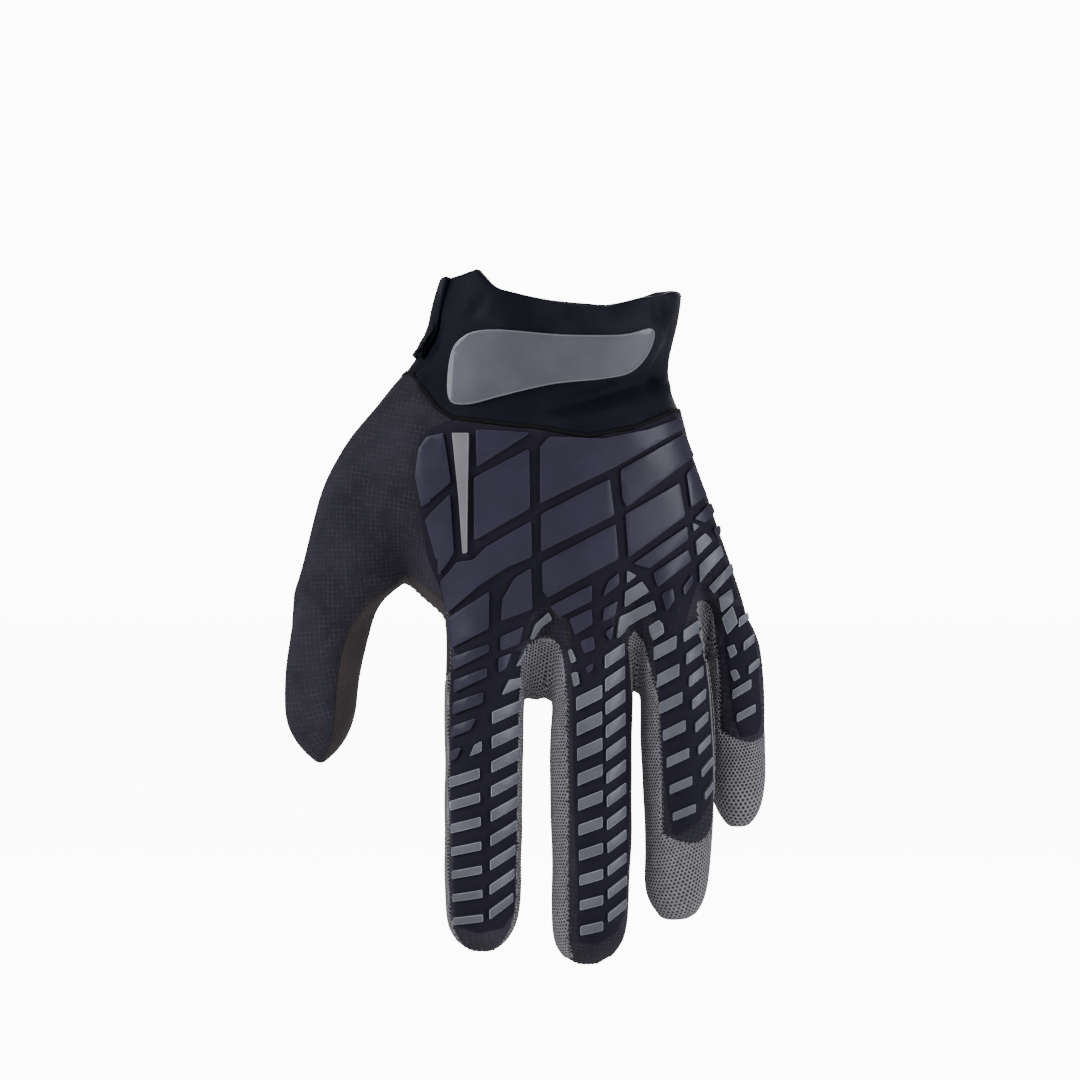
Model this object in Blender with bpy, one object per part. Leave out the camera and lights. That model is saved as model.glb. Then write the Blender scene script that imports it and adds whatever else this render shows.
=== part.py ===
"""Motocross glove for the left hand, in the shape a hand gives it.

The back of the hand faces -Y, the fingers hang down along -Z, the thumb is at -X
and the cuff opens upwards.  The origin is the middle of the wrist.

The glove is first drawn as one thin skin: a back sheet and a palm sheet with the
same five digits, joined by a band that runs round all of them.  The skin is then
parted into the sewn panels, and each panel is given its own wall.
Sizes are in metres.
"""
import math

import bpy
from mathutils import Vector

# Sizes of the hand
HAND_WIDTH = 0.0944
HAND_LENGTH = 0.0867
KNUCKLE_DEPTH = 0.0300
WRIST_DEPTH = 0.0430
CUFF_RISE = 0.0300
WEB_ROUND = 0.0050
THUMB_WEB_ROUND = 0.0090
PINKY_SET_BACK = 0.0070
TIP_ROUND = 0.0128
WEB_SAG = 0.88
ROLL_RUN = 0.0220
THUMB_TIP_ROUND = 0.0160
THUMB_SET_BACK = 0.0090
HEEL_SET_BACK = 0.0070
EDGE_SET_IN = 0.0025
# Power of the flattened oval that the hand and cuff are in section
OVAL_FULLNESS = 2.3

# Where, from the hand's middle (0) to its edges (1), it starts to fall back
ARCH_START_THUMB = 0.15
ARCH_START_HEEL = 0.25

# Sizes of the digits
INDEX_LENGTH = 0.1069
INDEX_WIDTH = 0.0250
MIDDLE_LENGTH = 0.1062
MIDDLE_WIDTH = 0.0253
RING_LENGTH = 0.0982
RING_WIDTH = 0.0232
PINKY_LENGTH = 0.0736
PINKY_WIDTH = 0.0184
THUMB_LENGTH = 0.0576
THUMB_WIDTH = 0.0250
DEPTH_OF_WIDTH = 0.90
KNUCKLE_SWELL = 1.06
# A power of a half gives a round tip, more a pointed one
TIP_POWER = 0.5
THUMB_TIP_POWER = 0.8
# Share of the hand over which it turns from one body into the feet of the digits
KNUCKLE_BLEND = 0.30

# Walls and clearances
SEAM_GAP = 0.0003
GUSSET_SET_IN = 0.0004
FABRIC_WALL = 0.0012
LEATHER_WALL = 0.0012
MESH_WALL = 0.0011
NEOPRENE_WALL = 0.0025
FLAP_WALL = 0.0015
FILM_GAP = 0.0005
FILM_WALL = 0.0004
BLOCK_HEIGHT = 0.0011
BAR_HEIGHT = 0.0009
RIB_HEIGHT = 0.0022
PLATE_HEIGHT = 0.0016
FILM_OVERLAP = 0.00015
TREAD_MARGIN = 0.0009
BLOCK_MARGIN = 0.00135
# Keeps the set-in short at a border's sharp corners
LEAST_SPREAD = 0.4
# Half the reach of every cutter through the glove, front to rear
CUTTER_REACH = 0.06

# Tread on the fingers
BAR_PITCH = 0.0077
BAR_BREADTH = 0.0040
GROOVE_WIDTH = 0.0013
BAR_SLANT = 0.30

# Bars: the first starts this many pitches below the finger's foot, the last ends this
# many above the tread's end, and each file spans these shares of the half width
BAR_START = 0.6
BAR_END = {"index": 2.2, "middle": 2.2, "ring": 0.7, "pinky": 0.7}
BAR_FILES = {"index": ((-0.72, -0.10), (0.08, 0.74)), "middle": ((-0.33, 0.28), (0.40, 0.86)),
             "ring": ((-0.40, 0.18), (0.34, 0.84)), "pinky": ((-0.10, 0.62),)}

# The tapered rib, placed by shares of HAND_WIDTH and HAND_LENGTH
RIB_TOP = (-0.264, 0.247)
RIB_LENGTH = 0.0400
RIB_TOP_WIDTH = 0.0056
RIB_END_WIDTH = 0.0013
RIB_LEAN = 0.07
RIB_CLEARANCE = 0.0009

# The plate on the cuff, placed in the same shares, narrower at its far end
PLATE_MIDDLE = (0.027, -0.005)
PLATE_LENGTH = 0.0620
PLATE_WIDTH = 0.0190
PLATE_ROUND = 0.0030
PLATE_START_TAPER = 0.80
PLATE_END_TAPER = 0.55
PLATE_END_RISE = 0.60


def table(columns, *rows):
    """Give every row of a table its column names."""
    names = columns.split()
    return [dict(zip(names, row)) for row in rows]


# Lines that run down the hand, at stations from the knuckles (0) to the wrist (1).
# Across: shares of HAND_WIDTH from the wrist's middle.
HAND_LINES = table(
    "station outer web guard index_middle middle_ring ring_pinky heel back palm",
    (0.00, -0.834, -0.468, -0.329, 0.027, 0.332, 0.559, 0.694, 1.00, 0.96),
    (0.25, -0.780, -0.480, -0.353, 0.010, 0.290, 0.505, 0.640, 1.02, 1.06),
    (0.50, -0.741, -0.485, -0.393, 0.000, 0.250, 0.450, 0.581, 0.98, 1.12),
    (0.75, -0.622, -0.470, -0.400, -0.014, 0.215, 0.390, 0.516, 0.98, 1.06),
    (1.00, -0.464, -0.370, -0.310, -0.024, 0.175, 0.335, 0.474, 1.00, 1.00))

# How far below the wrist's middle the same lines end, in shares of HAND_LENGTH
LINE_ENDS = table(
    "end outer web guard index_middle middle_ring ring_pinky heel",
    ("back_knuckle", 0.830, 0.764, 0.867, 1.000, 0.982, 0.860, 0.867),
    ("back_wrist", 0.026, 0.160, 0.203, 0.232, 0.266, 0.236, 0.173),
    ("palm_knuckle", 0.850, 0.800, 0.930, 1.180, 1.160, 1.020, 0.930),
    ("palm_wrist", 0.050, 0.130, 0.150, 0.160, 0.165, 0.165, 0.168))

# The cuff from the wrist seam (0) to the rim (1), across in shares of HAND_WIDTH
CUFF_SECTIONS = table(
    "station left right depth",
    (0.00, -0.464, 0.474, 1.00),
    (0.15, -0.432, 0.447, 0.97),
    (0.35, -0.378, 0.430, 0.95),
    (0.70, -0.356, 0.472, 1.00),
    (1.00, -0.326, 0.487, 1.04))

# Height of the cuff's rim over the wrist's middle, in shares of CUFF_RISE
CUFF_RIM = table(
    "side outer web guard index_middle middle_ring ring_pinky heel",
    ("back", 0.93, 1.00, 0.80, 0.67, 0.59, 0.70, 0.78),
    ("palm", 0.88, 0.80, 0.70, 0.60, 0.58, 0.64, 0.74))
RIM_SHARES = {"outer": 0.0, "web": 0.11, "guard": 0.19, "index_middle": 0.42,
              "middle_ring": 0.67, "ring_pinky": 0.86, "heel": 1.0}

# The digits.  axis: share of HAND_WIDTH.  base: share of HAND_LENGTH below the wrist.
DIGITS = table(
    "name length width axis base set_back curl bend first roll web tip_round",
    ("thumb", THUMB_LENGTH, THUMB_WIDTH, -0.736, 0.804, THUMB_SET_BACK, 0.004, 2, 0, -35.0,
     THUMB_WEB_ROUND, THUMB_TIP_ROUND),
    ("index", INDEX_LENGTH, INDEX_WIDTH, -0.188, 0.934, 0.0000, 0.009, 2, 6, 0.0,
     WEB_ROUND, TIP_ROUND),
    ("middle", MIDDLE_LENGTH, MIDDLE_WIDTH, 0.173, 0.993, -0.0010, 0.009, 2, 10, 24.0,
     WEB_ROUND, TIP_ROUND),
    ("ring", RING_LENGTH, RING_WIDTH, 0.471, 0.922, 0.0005, 0.010, 2, 14, 30.0,
     WEB_ROUND, TIP_ROUND),
    ("pinky", PINKY_LENGTH, PINKY_WIDTH, 0.668, 0.862, PINKY_SET_BACK, 0.009, 1, 18, 25.0,
     WEB_ROUND, TIP_ROUND))

# Sections along each digit.  side: shift in shares of its width.  girth: share of it.
DIGIT_SECTIONS = {
    "thumb": table("at side girth", (0.0, 0.31, 1.28), (0.15, 0.13, 1.13),
                   (0.35, 0.04, 1.03), (0.6, -0.03, 0.97), (1.0, -0.06, 0.88)),
    "index": table("at side girth", (0.0, 0.10, 1.10), (0.08, 0.03, 1.06),
                   (0.2, 0.0, 1.02), (0.75, -0.02, 0.98), (1.0, -0.04, 0.94)),
    "middle": table("at side girth", (0.0, 0.05, 0.90), (0.08, 0.03, 0.96),
                    (0.25, 0.0, 1.02), (0.75, 0.0, 0.96), (1.0, -0.05, 0.93)),
    "ring": table("at side girth", (0.0, -0.13, 0.82), (0.08, -0.11, 0.88),
                  (0.3, -0.02, 1.01), (0.75, 0.0, 0.90), (1.0, -0.04, 0.86)),
    "pinky": table("at side girth", (0.0, -0.05, 0.82), (0.12, -0.04, 0.90),
                   (0.4, 0.0, 1.0), (0.8, 0.03, 0.95), (1.0, 0.05, 0.88))}

# Grooves between the guard's blocks, in the same shares as HAND_LINES and LINE_ENDS
GUARD_GROOVES = table(
    "lean x down end_x end_down",
    ("upright", -0.024, 0.180, 0.014, 1.060),
    ("upright", 0.237, 0.240, 0.300, 1.040),
    ("upright", 0.460, 0.220, 0.536, 0.900),
    ("slanting", -0.300, 0.430, 0.060, 0.235),
    ("slanting", -0.300, 0.700, 0.600, 0.160),
    ("slanting", 0.000, 0.722, 0.660, 0.240),
    ("slanting", 0.000, 0.885, 0.720, 0.420),
    ("slanting", -0.380, 0.960, -0.030, 0.757),
    ("short", -0.450, 0.575, -0.270, 0.410),
    ("short", -0.420, 0.850, -0.260, 0.660))

# Where the black back of a digit ends in a rounded edge and the open mesh begins
BACK_ENDS = {"ring": 0.75, "pinky": 0.63}
BACK_END_ROUND = 0.07
BACK_END_REACH = 0.15

ROWS = (0.0, 0.02, 0.05, 0.11, 0.20, 0.34, 0.48, 0.63, 0.75, 0.86, 0.93, 0.975)
THUMB_ROWS = (0.0, 0.05, 0.12, 0.20, 0.30, 0.41, 0.52, 0.64, 0.75, 0.86, 0.94, 0.98)
HAND_ROWS = (0.0, 0.08, 0.20, 0.36, 0.56, 0.78, 1.0)
CUFF_ROWS = (0.0, 0.17, 0.40, 0.70, 1.0)
LINES = ("outer", "web", "guard", "index_middle", "middle_ring", "ring_pinky", "heel")
ANGLES = (-60.0, -30.0, 0.0, 30.0, 60.0)
# How far below the web each column takes to reach the digit's own section
WEB_RUNS = (1.0, 1.5, 2.5, 1.5, 1.0)
LINE_COLUMNS = (0, 4, 6, 10, 14, 18, 22)
LAST_COLUMN = LINE_COLUMNS[-1]
WEB_ROWS = 4
FLAP_COLUMNS = 9
CUFF_FRONT = (5, 19)
GUARD_END = 21
TREAD_ROWS = {"index": (2, 10), "middle": (2, 10), "ring": (3, 8), "pinky": (3, 7)}
NODE_NAMES = {
    "back": "back_panel", "thumb_back": "thumb_back_panel", "palm": "palm_panel",
    "thumb_palm": "thumb_palm_panel", "index_side": "index_outer_gusset",
    "middle_side": "index_middle_gusset", "ring_side": "middle_ring_gusset",
    "pinky_side": "ring_pinky_gusset", "cuff": "cuff"}
BACK, PALM, SIDE = "back", "palm", "side"

# Finishes: colour and roughness
FINISHES = {
    "woven_fabric": ((0.030, 0.028, 0.040), 0.85),
    "synthetic_leather": ((0.045, 0.036, 0.036), 0.70),
    "open_mesh": ((0.20, 0.20, 0.21), 0.80),
    "neoprene": ((0.012, 0.013, 0.020), 0.60),
    "moulded_rubber": ((0.060, 0.055, 0.085), 0.50),
    "grey_rubber": ((0.25, 0.26, 0.29), 0.40)}


def remove_all():
    """Empty the scene."""
    for thing in list(bpy.data.objects):
        bpy.data.objects.remove(thing, do_unlink=True)


def smooth(share):
    """Ease from 0 to 1."""
    share = min(max(share, 0.0), 1.0)
    return share * share * (3.0 - 2.0 * share)


def mix(first, second, share):
    """Blend two numbers or vectors."""
    return first * (1.0 - share) + second * share


def read(rows, key, column, at):
    """Read a column of a table at any station, on a smooth curve."""
    places = [row[key] for row in rows]
    values = [row[column] for row in rows]
    if at <= places[0]:
        return values[0]
    if at >= places[-1]:
        return values[-1]
    low = max(i for i, place in enumerate(places) if place <= at)
    run = places[low + 1] - places[low]
    share = (at - places[low]) / run
    slopes = []
    for i in (low, low + 1):
        before, after = max(i - 1, 0), min(i + 1, len(places) - 1)
        slopes.append((values[after] - values[before]) / (places[after] - places[before]))
    square, cube = share * share, share ** 3
    return ((2 * cube - 3 * square + 1) * values[low]
            + (cube - 2 * square + share) * slopes[0] * run
            + (3 * square - 2 * cube) * values[low + 1]
            + (cube - square) * slopes[1] * run)


def column_place(column):
    """Say between which two lines a column lies, and how far along."""
    for line in range(len(LINES) - 1):
        first, last = LINE_COLUMNS[line], LINE_COLUMNS[line + 1]
        if first <= column <= last:
            step = column - first
            if last - first == 4:
                reach = math.sin(math.radians(ANGLES[-1]))
                return line, 0.5 + 0.5 * math.sin(math.radians(ANGLES[step])) / reach
            return line, step / (last - first)
    return len(LINES) - 2, 1.0


def across(values, column):
    """Read a value given on the lines at a column."""
    line, share = column_place(column)
    return mix(values[LINES[line]], values[LINES[line + 1]], share)


def line_end(name):
    """Pick the row of LINE_ENDS with this name."""
    return next(row for row in LINE_ENDS if row["end"] == name)


def hand_x(column, station):
    """Place of a hand column across the hand, with the two edges set in a little."""
    values = {line: read(HAND_LINES, "station", line, station) for line in LINES}
    share = ((across(values, column) - values["outer"])
             / (values["heel"] - values["outer"]))
    return mix(values["outer"] * HAND_WIDTH + EDGE_SET_IN,
               values["heel"] * HAND_WIDTH - EDGE_SET_IN, share)


def hand_edges(station):
    """The outline of the hand, left and right."""
    return (read(HAND_LINES, "station", "outer", station) * HAND_WIDTH,
            read(HAND_LINES, "station", "heel", station) * HAND_WIDTH)


def arch_back(x, left, right, station):
    """How far the thumb's side and the heel's side of the hand lie behind its middle."""
    reach = 2.0 * (x - left) / (right - left) - 1.0
    thumb = smooth((-reach - ARCH_START_THUMB) / (1.0 - ARCH_START_THUMB)) * THUMB_SET_BACK
    heel = smooth((reach - ARCH_START_HEEL) / (1.0 - ARCH_START_HEEL)) * HEEL_SET_BACK
    return (thumb + heel) * (1.0 - smooth(station))


def oval(x, left, right, depth):
    """Half the depth of a flattened oval at a place across it."""
    reach = abs(2.0 * (x - left) / (right - left) - 1.0)
    return depth * max(1.0 - reach ** OVAL_FULLNESS, 0.0) ** (1.1 / OVAL_FULLNESS)


def knuckle_y(side, column):
    """Depth of the skin at the foot of the digits, where the webs dip between them."""
    sign = -1.0 if side == BACK else 1.0
    values = []
    for digit in DIGITS:
        if digit["first"] <= column <= digit["first"] + 4:
            angle = math.radians(ANGLES[column - digit["first"]])
            half = digit["width"] * DEPTH_OF_WIDTH / 2.0
            values.append(digit["set_back"] + sign * half * KNUCKLE_SWELL * math.cos(angle))
    if not values:
        return mix(knuckle_y(side, column - 1), knuckle_y(side, column + 1), 0.5)
    return sum(values) / len(values)


def hand_point(side, column, station):
    """A point of the hand's back or palm."""
    x = hand_x(column, station)
    left, right = hand_edges(station)
    share = "back" if side == BACK else "palm"
    depth = read(HAND_LINES, "station", share, station)
    depth *= mix(KNUCKLE_DEPTH, WRIST_DEPTH, smooth(station)) / 2.0
    sign = -1.0 if side == BACK else 1.0
    y = arch_back(x, left, right, station) + sign * oval(x, left, right, depth)
    y = mix(knuckle_y(side, column), y, smooth(station / KNUCKLE_BLEND))
    low = across(line_end(side + "_knuckle"), column)
    high = across(line_end(side + "_wrist"), column)
    return Vector((x, y, -mix(low, high, station) * HAND_LENGTH))


def hand_side_point(column, station):
    """A point of the band half way between back and palm."""
    back = hand_point(BACK, column, station)
    palm = hand_point(PALM, column, station)
    middle = mix(back, palm, 0.5)
    if column == 0:
        middle.x = hand_edges(station)[0]
    elif column == LAST_COLUMN:
        middle.x = hand_edges(station)[1]
    else:
        middle.z = mix(back.z, palm.z, WEB_SAG)
    return middle


def tip_share(digit, at):
    """How much of its girth a digit has left near its tip."""
    start = 1.0 - digit["tip_round"] / digit["length"]
    past = min(max((at - start) / (1.0 - start), 0.0), 1.0)
    power = THUMB_TIP_POWER if digit["name"] == "thumb" else TIP_POWER
    return max(1.0 - past * past, 0.0) ** power


def digit_point(digit, side, step, row):
    """A point of a digit's skin.  step counts across it, row towards its tip."""
    column = digit["first"] + step
    at = (THUMB_ROWS if digit["name"] == "thumb" else ROWS)[row]
    foot = hand_side_point(column, 0.0) if side == SIDE else hand_point(side, column, 0.0)
    tip = -digit["base"] * HAND_LENGTH - digit["length"]
    angle = ANGLES[step]
    if side == SIDE:
        angle = math.copysign(90.0, angle)
    if side != PALM and digit["name"] in BACK_ENDS:
        near = 1.0 - min(abs(at - BACK_ENDS[digit["name"]]) / BACK_END_REACH, 1.0)
        at -= BACK_END_ROUND * near * math.sin(math.radians(angle)) ** 2
    z = mix(foot.z, tip, at)
    along = (-digit["base"] * HAND_LENGTH - z) / digit["length"]
    sections = DIGIT_SECTIONS[digit["name"]]
    girth = read(sections, "at", "girth", along) * tip_share(digit, along)
    half = digit["width"] / 2.0 * girth
    roll = digit["roll"] * smooth((foot.z - z) / ROLL_RUN)
    turn = math.radians((angle if side != PALM else 180.0 - angle) + roll)
    middle = (digit["axis"] * HAND_WIDTH
              + read(sections, "at", "side", along) * digit["width"])
    back = digit["set_back"] + digit["curl"] * max(along, 0.0) ** digit["bend"]
    ring = Vector((middle + half * math.sin(turn),
                   back - half * DEPTH_OF_WIDTH * math.cos(turn), z))
    outer = (digit["name"], step) in (("thumb", 0), ("pinky", 4), ("index", 0))
    if step == 2 or outer:
        share = smooth((foot.z - z) / (digit["web"] * WEB_RUNS[2]))
    else:
        below = min((foot.z - z) / (digit["web"] * WEB_RUNS[step]), 1.0)
        share = math.sqrt(1.0 - (1.0 - below) ** 2)
    point = mix(foot, ring, share)
    point.z = z
    return point


def tip_point(digit, step):
    """A point of the band where it crosses a digit's tip."""
    last = len(ROWS) - 1
    point = mix(digit_point(digit, BACK, step, last),
                digit_point(digit, PALM, step, last), 0.5)
    point.z = -digit["base"] * HAND_LENGTH - digit["length"]
    return point


def cuff_point(side, column, station):
    """A point of the cuff."""
    left = read(CUFF_SECTIONS, "station", "left", station) * HAND_WIDTH
    right = read(CUFF_SECTIONS, "station", "right", station) * HAND_WIDTH
    depth = read(CUFF_SECTIONS, "station", "depth", station) * WRIST_DEPTH / 2.0
    seam = hand_point(side, column, 1.0)
    first, last = hand_x(0, 1.0), hand_x(LAST_COLUMN, 1.0)
    share = mix((seam.x - first) / (last - first), across(RIM_SHARES, column), station)
    x = mix(left + EDGE_SET_IN, right - EDGE_SET_IN, share)
    sign = -1.0 if side == BACK else 1.0
    rim = next(row for row in CUFF_RIM if row["side"] == side)
    top = across(rim, column) * CUFF_RISE
    return Vector((x, sign * oval(x, left, right, depth), mix(seam.z, top, station)))


def cuff_side_point(column, station):
    """A point at the cuff's left or right edge."""
    middle = mix(cuff_point(BACK, column, station), cuff_point(PALM, column, station), 0.5)
    edge = "left" if column == 0 else "right"
    middle.x = read(CUFF_SECTIONS, "station", edge, station) * HAND_WIDTH
    return middle


class Skin:
    """The whole glove as one thin skin of named points and tagged faces."""

    def __init__(self):
        self.points = []
        self.numbers = {}
        self.faces = []
        self.tags = []

    def point(self, key, find_spot):
        """Number of the point with this key, made on first use."""
        if key not in self.numbers:
            self.numbers[key] = len(self.points)
            self.points.append(find_spot())
        return self.numbers[key]

    def hand(self, side, column, row):
        station = HAND_ROWS[row]
        if side == SIDE:
            return self.point(("hand", side, column, row),
                              lambda: hand_side_point(column, station))
        return self.point(("hand", side, column, row),
                          lambda: hand_point(side, column, station))

    def digit(self, digit, side, step, row):
        if row == 0:
            return self.hand(side, digit["first"] + step, 0)
        if side == SIDE and step in (1, 2, 3):
            return self.point((digit["name"], side, step, row),
                              lambda: tip_point(digit, step))
        return self.point((digit["name"], side, step, row),
                          lambda: digit_point(digit, side, step, row))

    def cuff(self, side, column, row):
        if row == 0:
            return self.hand(side, column, len(HAND_ROWS) - 1)
        station = CUFF_ROWS[row]
        if side == SIDE:
            return self.point(("cuff", side, column, row),
                              lambda: cuff_side_point(column, station))
        return self.point(("cuff", side, column, row),
                          lambda: cuff_point(side, column, station))

    def face(self, corners, *tags):
        """Add a quad, tagged with the pieces that are made over it."""
        self.faces.append(corners)
        self.tags.append(tags)

    def finish(self):
        """Turn each quad to split on its shorter diagonal, and find the way out."""
        spots = self.points
        for i, (a, b, c, d) in enumerate(self.faces):
            if (spots[a] - spots[c]).length > (spots[b] - spots[d]).length:
                self.faces[i] = [b, c, d, a]
        sums = [Vector() for _ in self.points]
        for corners in self.faces:
            a, b, c, d = (self.points[i] for i in corners)
            normal = (c - a).cross(d - b).normalized()
            places = (a, b, c, d)
            for k, i in enumerate(corners):
                before = places[k - 1] - places[k]
                after = places[(k + 1) % 4] - places[k]
                sums[i] += normal * before.angle(after)
        self.normals = [total.normalized() for total in sums]

    def pick(self, tag):
        """The faces of one piece."""
        return [corners for corners, tags in zip(self.faces, self.tags) if tag in tags]


def hand_tags(side, column, row):
    """Pieces over a quad of the hand."""
    if side == PALM:
        return ("palm",)
    if column < LINE_COLUMNS[2]:
        return ("thumb_back",)
    return ("back", "guard") if row > 0 and column < GUARD_END else ("back",)


def digit_tags(side, name, row):
    """Pieces over a quad of a digit."""
    if side == PALM:
        return ("thumb_palm",) if name == "thumb" else ("palm",)
    if name == "thumb":
        return ("thumb_back",)
    if name in BACK_ENDS and row >= ROWS.index(BACK_ENDS[name]):
        return (name + "_side",)
    first, last = TREAD_ROWS[name]
    return ("back", name + "_tread") if first <= row < last else ("back",)


def cuff_tags(side, column, row):
    """Pieces over a quad of the cuff."""
    if side == BACK:
        front = CUFF_FRONT[0] <= column <= CUFF_FRONT[1]
        return ("cuff", "cuff_front") if front else ("cuff",)
    return ("cuff", "cuff_flap") if column < FLAP_COLUMNS and row > 0 else ("cuff",)


def sheets(skin, side):
    """Back or palm: the hand's quads, then each digit's, then the cuff's."""
    def lay(low_left, low_right, high_right, high_left, tags):
        corners = [low_left, low_right, high_right, high_left]
        skin.face(corners if side == BACK else corners[::-1], *tags)

    for row in range(len(HAND_ROWS) - 1):
        for column in range(LAST_COLUMN):
            lay(skin.hand(side, column, row), skin.hand(side, column + 1, row),
                skin.hand(side, column + 1, row + 1), skin.hand(side, column, row + 1),
                hand_tags(side, column, row))
    for digit in DIGITS:
        for row in range(len(ROWS) - 1):
            for step in range(4):
                lay(skin.digit(digit, side, step, row + 1),
                    skin.digit(digit, side, step + 1, row + 1),
                    skin.digit(digit, side, step + 1, row),
                    skin.digit(digit, side, step, row),
                    digit_tags(side, digit["name"], row))
    for row in range(len(CUFF_ROWS) - 1):
        for column in range(LAST_COLUMN):
            lay(skin.cuff(side, column, row), skin.cuff(side, column + 1, row),
                skin.cuff(side, column + 1, row + 1), skin.cuff(side, column, row + 1),
                cuff_tags(side, column, row))


def band_stops():
    """Stops of the band that joins back and palm, from the thumb's side to the heel.

    Each stop is a part, a step across it and a row, then the panels that the band's
    front and rear strips belong to from there to the next stop.
    """
    last = len(ROWS) - 1
    wrist = len(HAND_ROWS) - 1
    pinky_end = ROWS.index(BACK_ENDS["pinky"])
    outer_side = ("thumb_back", "palm")
    stops = [("hand", 0, row, outer_side) for row in range(wrist, 0, -1)]
    tips = {"thumb": ("thumb_back", "thumb_palm"), "index": ("back", "palm"),
            "middle": ("back", "palm"), "ring": ("ring_side", "ring_side"),
            "pinky": ("pinky_side", "pinky_side")}
    before = {"thumb": ("thumb_back", "thumb_palm"), "index": ("index_side",) * 2,
              "middle": ("middle_side",) * 2, "ring": ("ring_side",) * 2,
              "pinky": ("pinky_side",) * 2}
    after = {"thumb": ("thumb_palm",) * 2, "index": ("middle_side",) * 2,
             "middle": ("ring_side",) * 2, "ring": ("pinky_side",) * 2,
             "pinky": ("back", "palm")}
    for digit in DIGITS:
        name = digit["name"]
        down, up = before[name], after[name]
        web = after["thumb"] if name == "index" else down
        stops.append(("hand", digit["first"], 0, web))
        for row in range(1, last):
            stops.append((name, 0, row, web if row < WEB_ROWS else down))
        stops += [(name, step, last, tips[name]) for step in range(4)]
        for row in range(last, 0, -1):
            mesh_end = name == "pinky" and row > pinky_end
            stops.append((name, 4, row, down if mesh_end else up))
        if name == "thumb":
            stops += [("hand", 4, 0, up), ("hand", 5, 0, up)]
    heel = after["pinky"]
    return stops + [("hand", LAST_COLUMN, row, heel) for row in range(wrist + 1)]


def band(skin):
    """The band between back and palm, as a front strip and a rear strip."""
    digits = {digit["name"]: digit for digit in DIGITS}

    def number(stop, side):
        part, step, row = stop[:3]
        if part == "hand":
            return skin.hand(side, step, row)
        return skin.digit(digits[part], side, step, row)

    stops = band_stops()
    for first, second in zip(stops, stops[1:]):
        middle = (number(first, SIDE), number(second, SIDE))
        skin.face([number(first, BACK), middle[0], middle[1], number(second, BACK)],
                  first[3][0])
        skin.face([middle[0], number(first, PALM), number(second, PALM), middle[1]],
                  first[3][1])
    for row in range(len(CUFF_ROWS) - 1):
        for column in (0, LAST_COLUMN):
            for near, far in ((BACK, SIDE), (SIDE, PALM)):
                corners = [skin.cuff(near, column, row), skin.cuff(near, column, row + 1),
                           skin.cuff(far, column, row + 1), skin.cuff(far, column, row)]
                tag = "cuff_flap" if column == 0 and row > 0 else "cuff"
                skin.face(corners if column == 0 else corners[::-1], "cuff", tag)


def build_skin():
    """Draw the whole skin."""
    skin = Skin()
    sheets(skin, BACK)
    sheets(skin, PALM)
    band(skin)
    return skin


def material(name):
    """A plain finish."""
    colour, roughness = FINISHES[name]
    finish = bpy.data.materials.new(name)
    finish.use_nodes = True
    shader = finish.node_tree.nodes["Principled BSDF"]
    shader.inputs["Base Color"].default_value = (*colour, 1.0)
    shader.inputs["Roughness"].default_value = roughness
    return finish


def put_mesh(name, points, faces, finish=None):
    """Put a mesh in the scene."""
    mesh = bpy.data.meshes.new(name)
    mesh.from_pydata(points, [], faces)
    thing = bpy.data.objects.new(name, mesh)
    bpy.context.collection.objects.link(thing)
    if finish:
        mesh.materials.append(finish)
    return thing


def wall(name, skin, faces, low, high, set_in=SEAM_GAP / 2.0, finish=None):
    """A closed wall over some faces of the skin.

    low and high are its inner and outer distances from the skin, outwards, and its
    border is set in from the neighbouring panels.
    """
    normals = skin.normals
    edges = {}
    for corners in faces:
        for a, b in zip(corners, corners[1:] + corners[:1]):
            edges[(a, b)] = corners
    border = [edge for edge in edges if (edge[1], edge[0]) not in edges]
    moves = {}
    for a, b in border:
        along = (skin.points[b] - skin.points[a]).normalized()
        corners = edges[(a, b)]
        middle = sum((skin.points[i] for i in corners), Vector()) / len(corners)
        for i in (a, b):
            inward = normals[i].cross(along).normalized()
            if inward.dot(middle - skin.points[i]) < 0.0:
                inward.negate()
            moves.setdefault(i, []).append(inward)
    used = sorted({i for corners in faces for i in corners})
    numbers = {i: n for n, i in enumerate(used)}
    points = []
    for distance in (high, low):
        for i in used:
            point = skin.points[i] + normals[i] * distance
            if i in moves:
                total = sum(moves[i], Vector())
                spread = max(total.normalized().dot(moves[i][0]), LEAST_SPREAD)
                point = point + total.normalized() * set_in / spread
            points.append(point)
    count = len(used)
    quads = [[numbers[i] for i in corners] for corners in faces]
    quads += [[numbers[corners[k]] + count for k in (0, 3, 2, 1)] for corners in faces]
    for a, b in border:
        quads.append([numbers[b], numbers[a], numbers[a] + count, numbers[b] + count])
    triangles = []
    for a, b, c, d in quads:
        triangles += [[a, b, c], [a, c, d]]
    return put_mesh(name, points, triangles, finish)


def prisms(name, outlines):
    """Upright outlines in X and Z, each drawn out along Y, as one hidden cutter."""
    points, faces = [], []
    for outline in outlines:
        area = sum(a[0] * b[1] - b[0] * a[1]
                   for a, b in zip(outline, outline[1:] + outline[:1]))
        if area < 0.0:
            outline = outline[::-1]
        start, count = len(points), len(outline)
        points += [(x, -CUTTER_REACH, z) for x, z in outline]
        points += [(x, CUTTER_REACH, z) for x, z in outline]
        faces.append([start + i for i in range(count)])
        faces.append([start + count + i for i in reversed(range(count))])
        for i in range(count):
            j = (i + 1) % count
            faces.append([start + j, start + i, start + count + i, start + count + j])
    cutter = put_mesh(name, points, faces)
    hide(cutter)
    return cutter


def hide(thing):
    """Mark a cutter or guide."""
    thing.hide_render = True
    thing.display_type = "WIRE"


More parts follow.
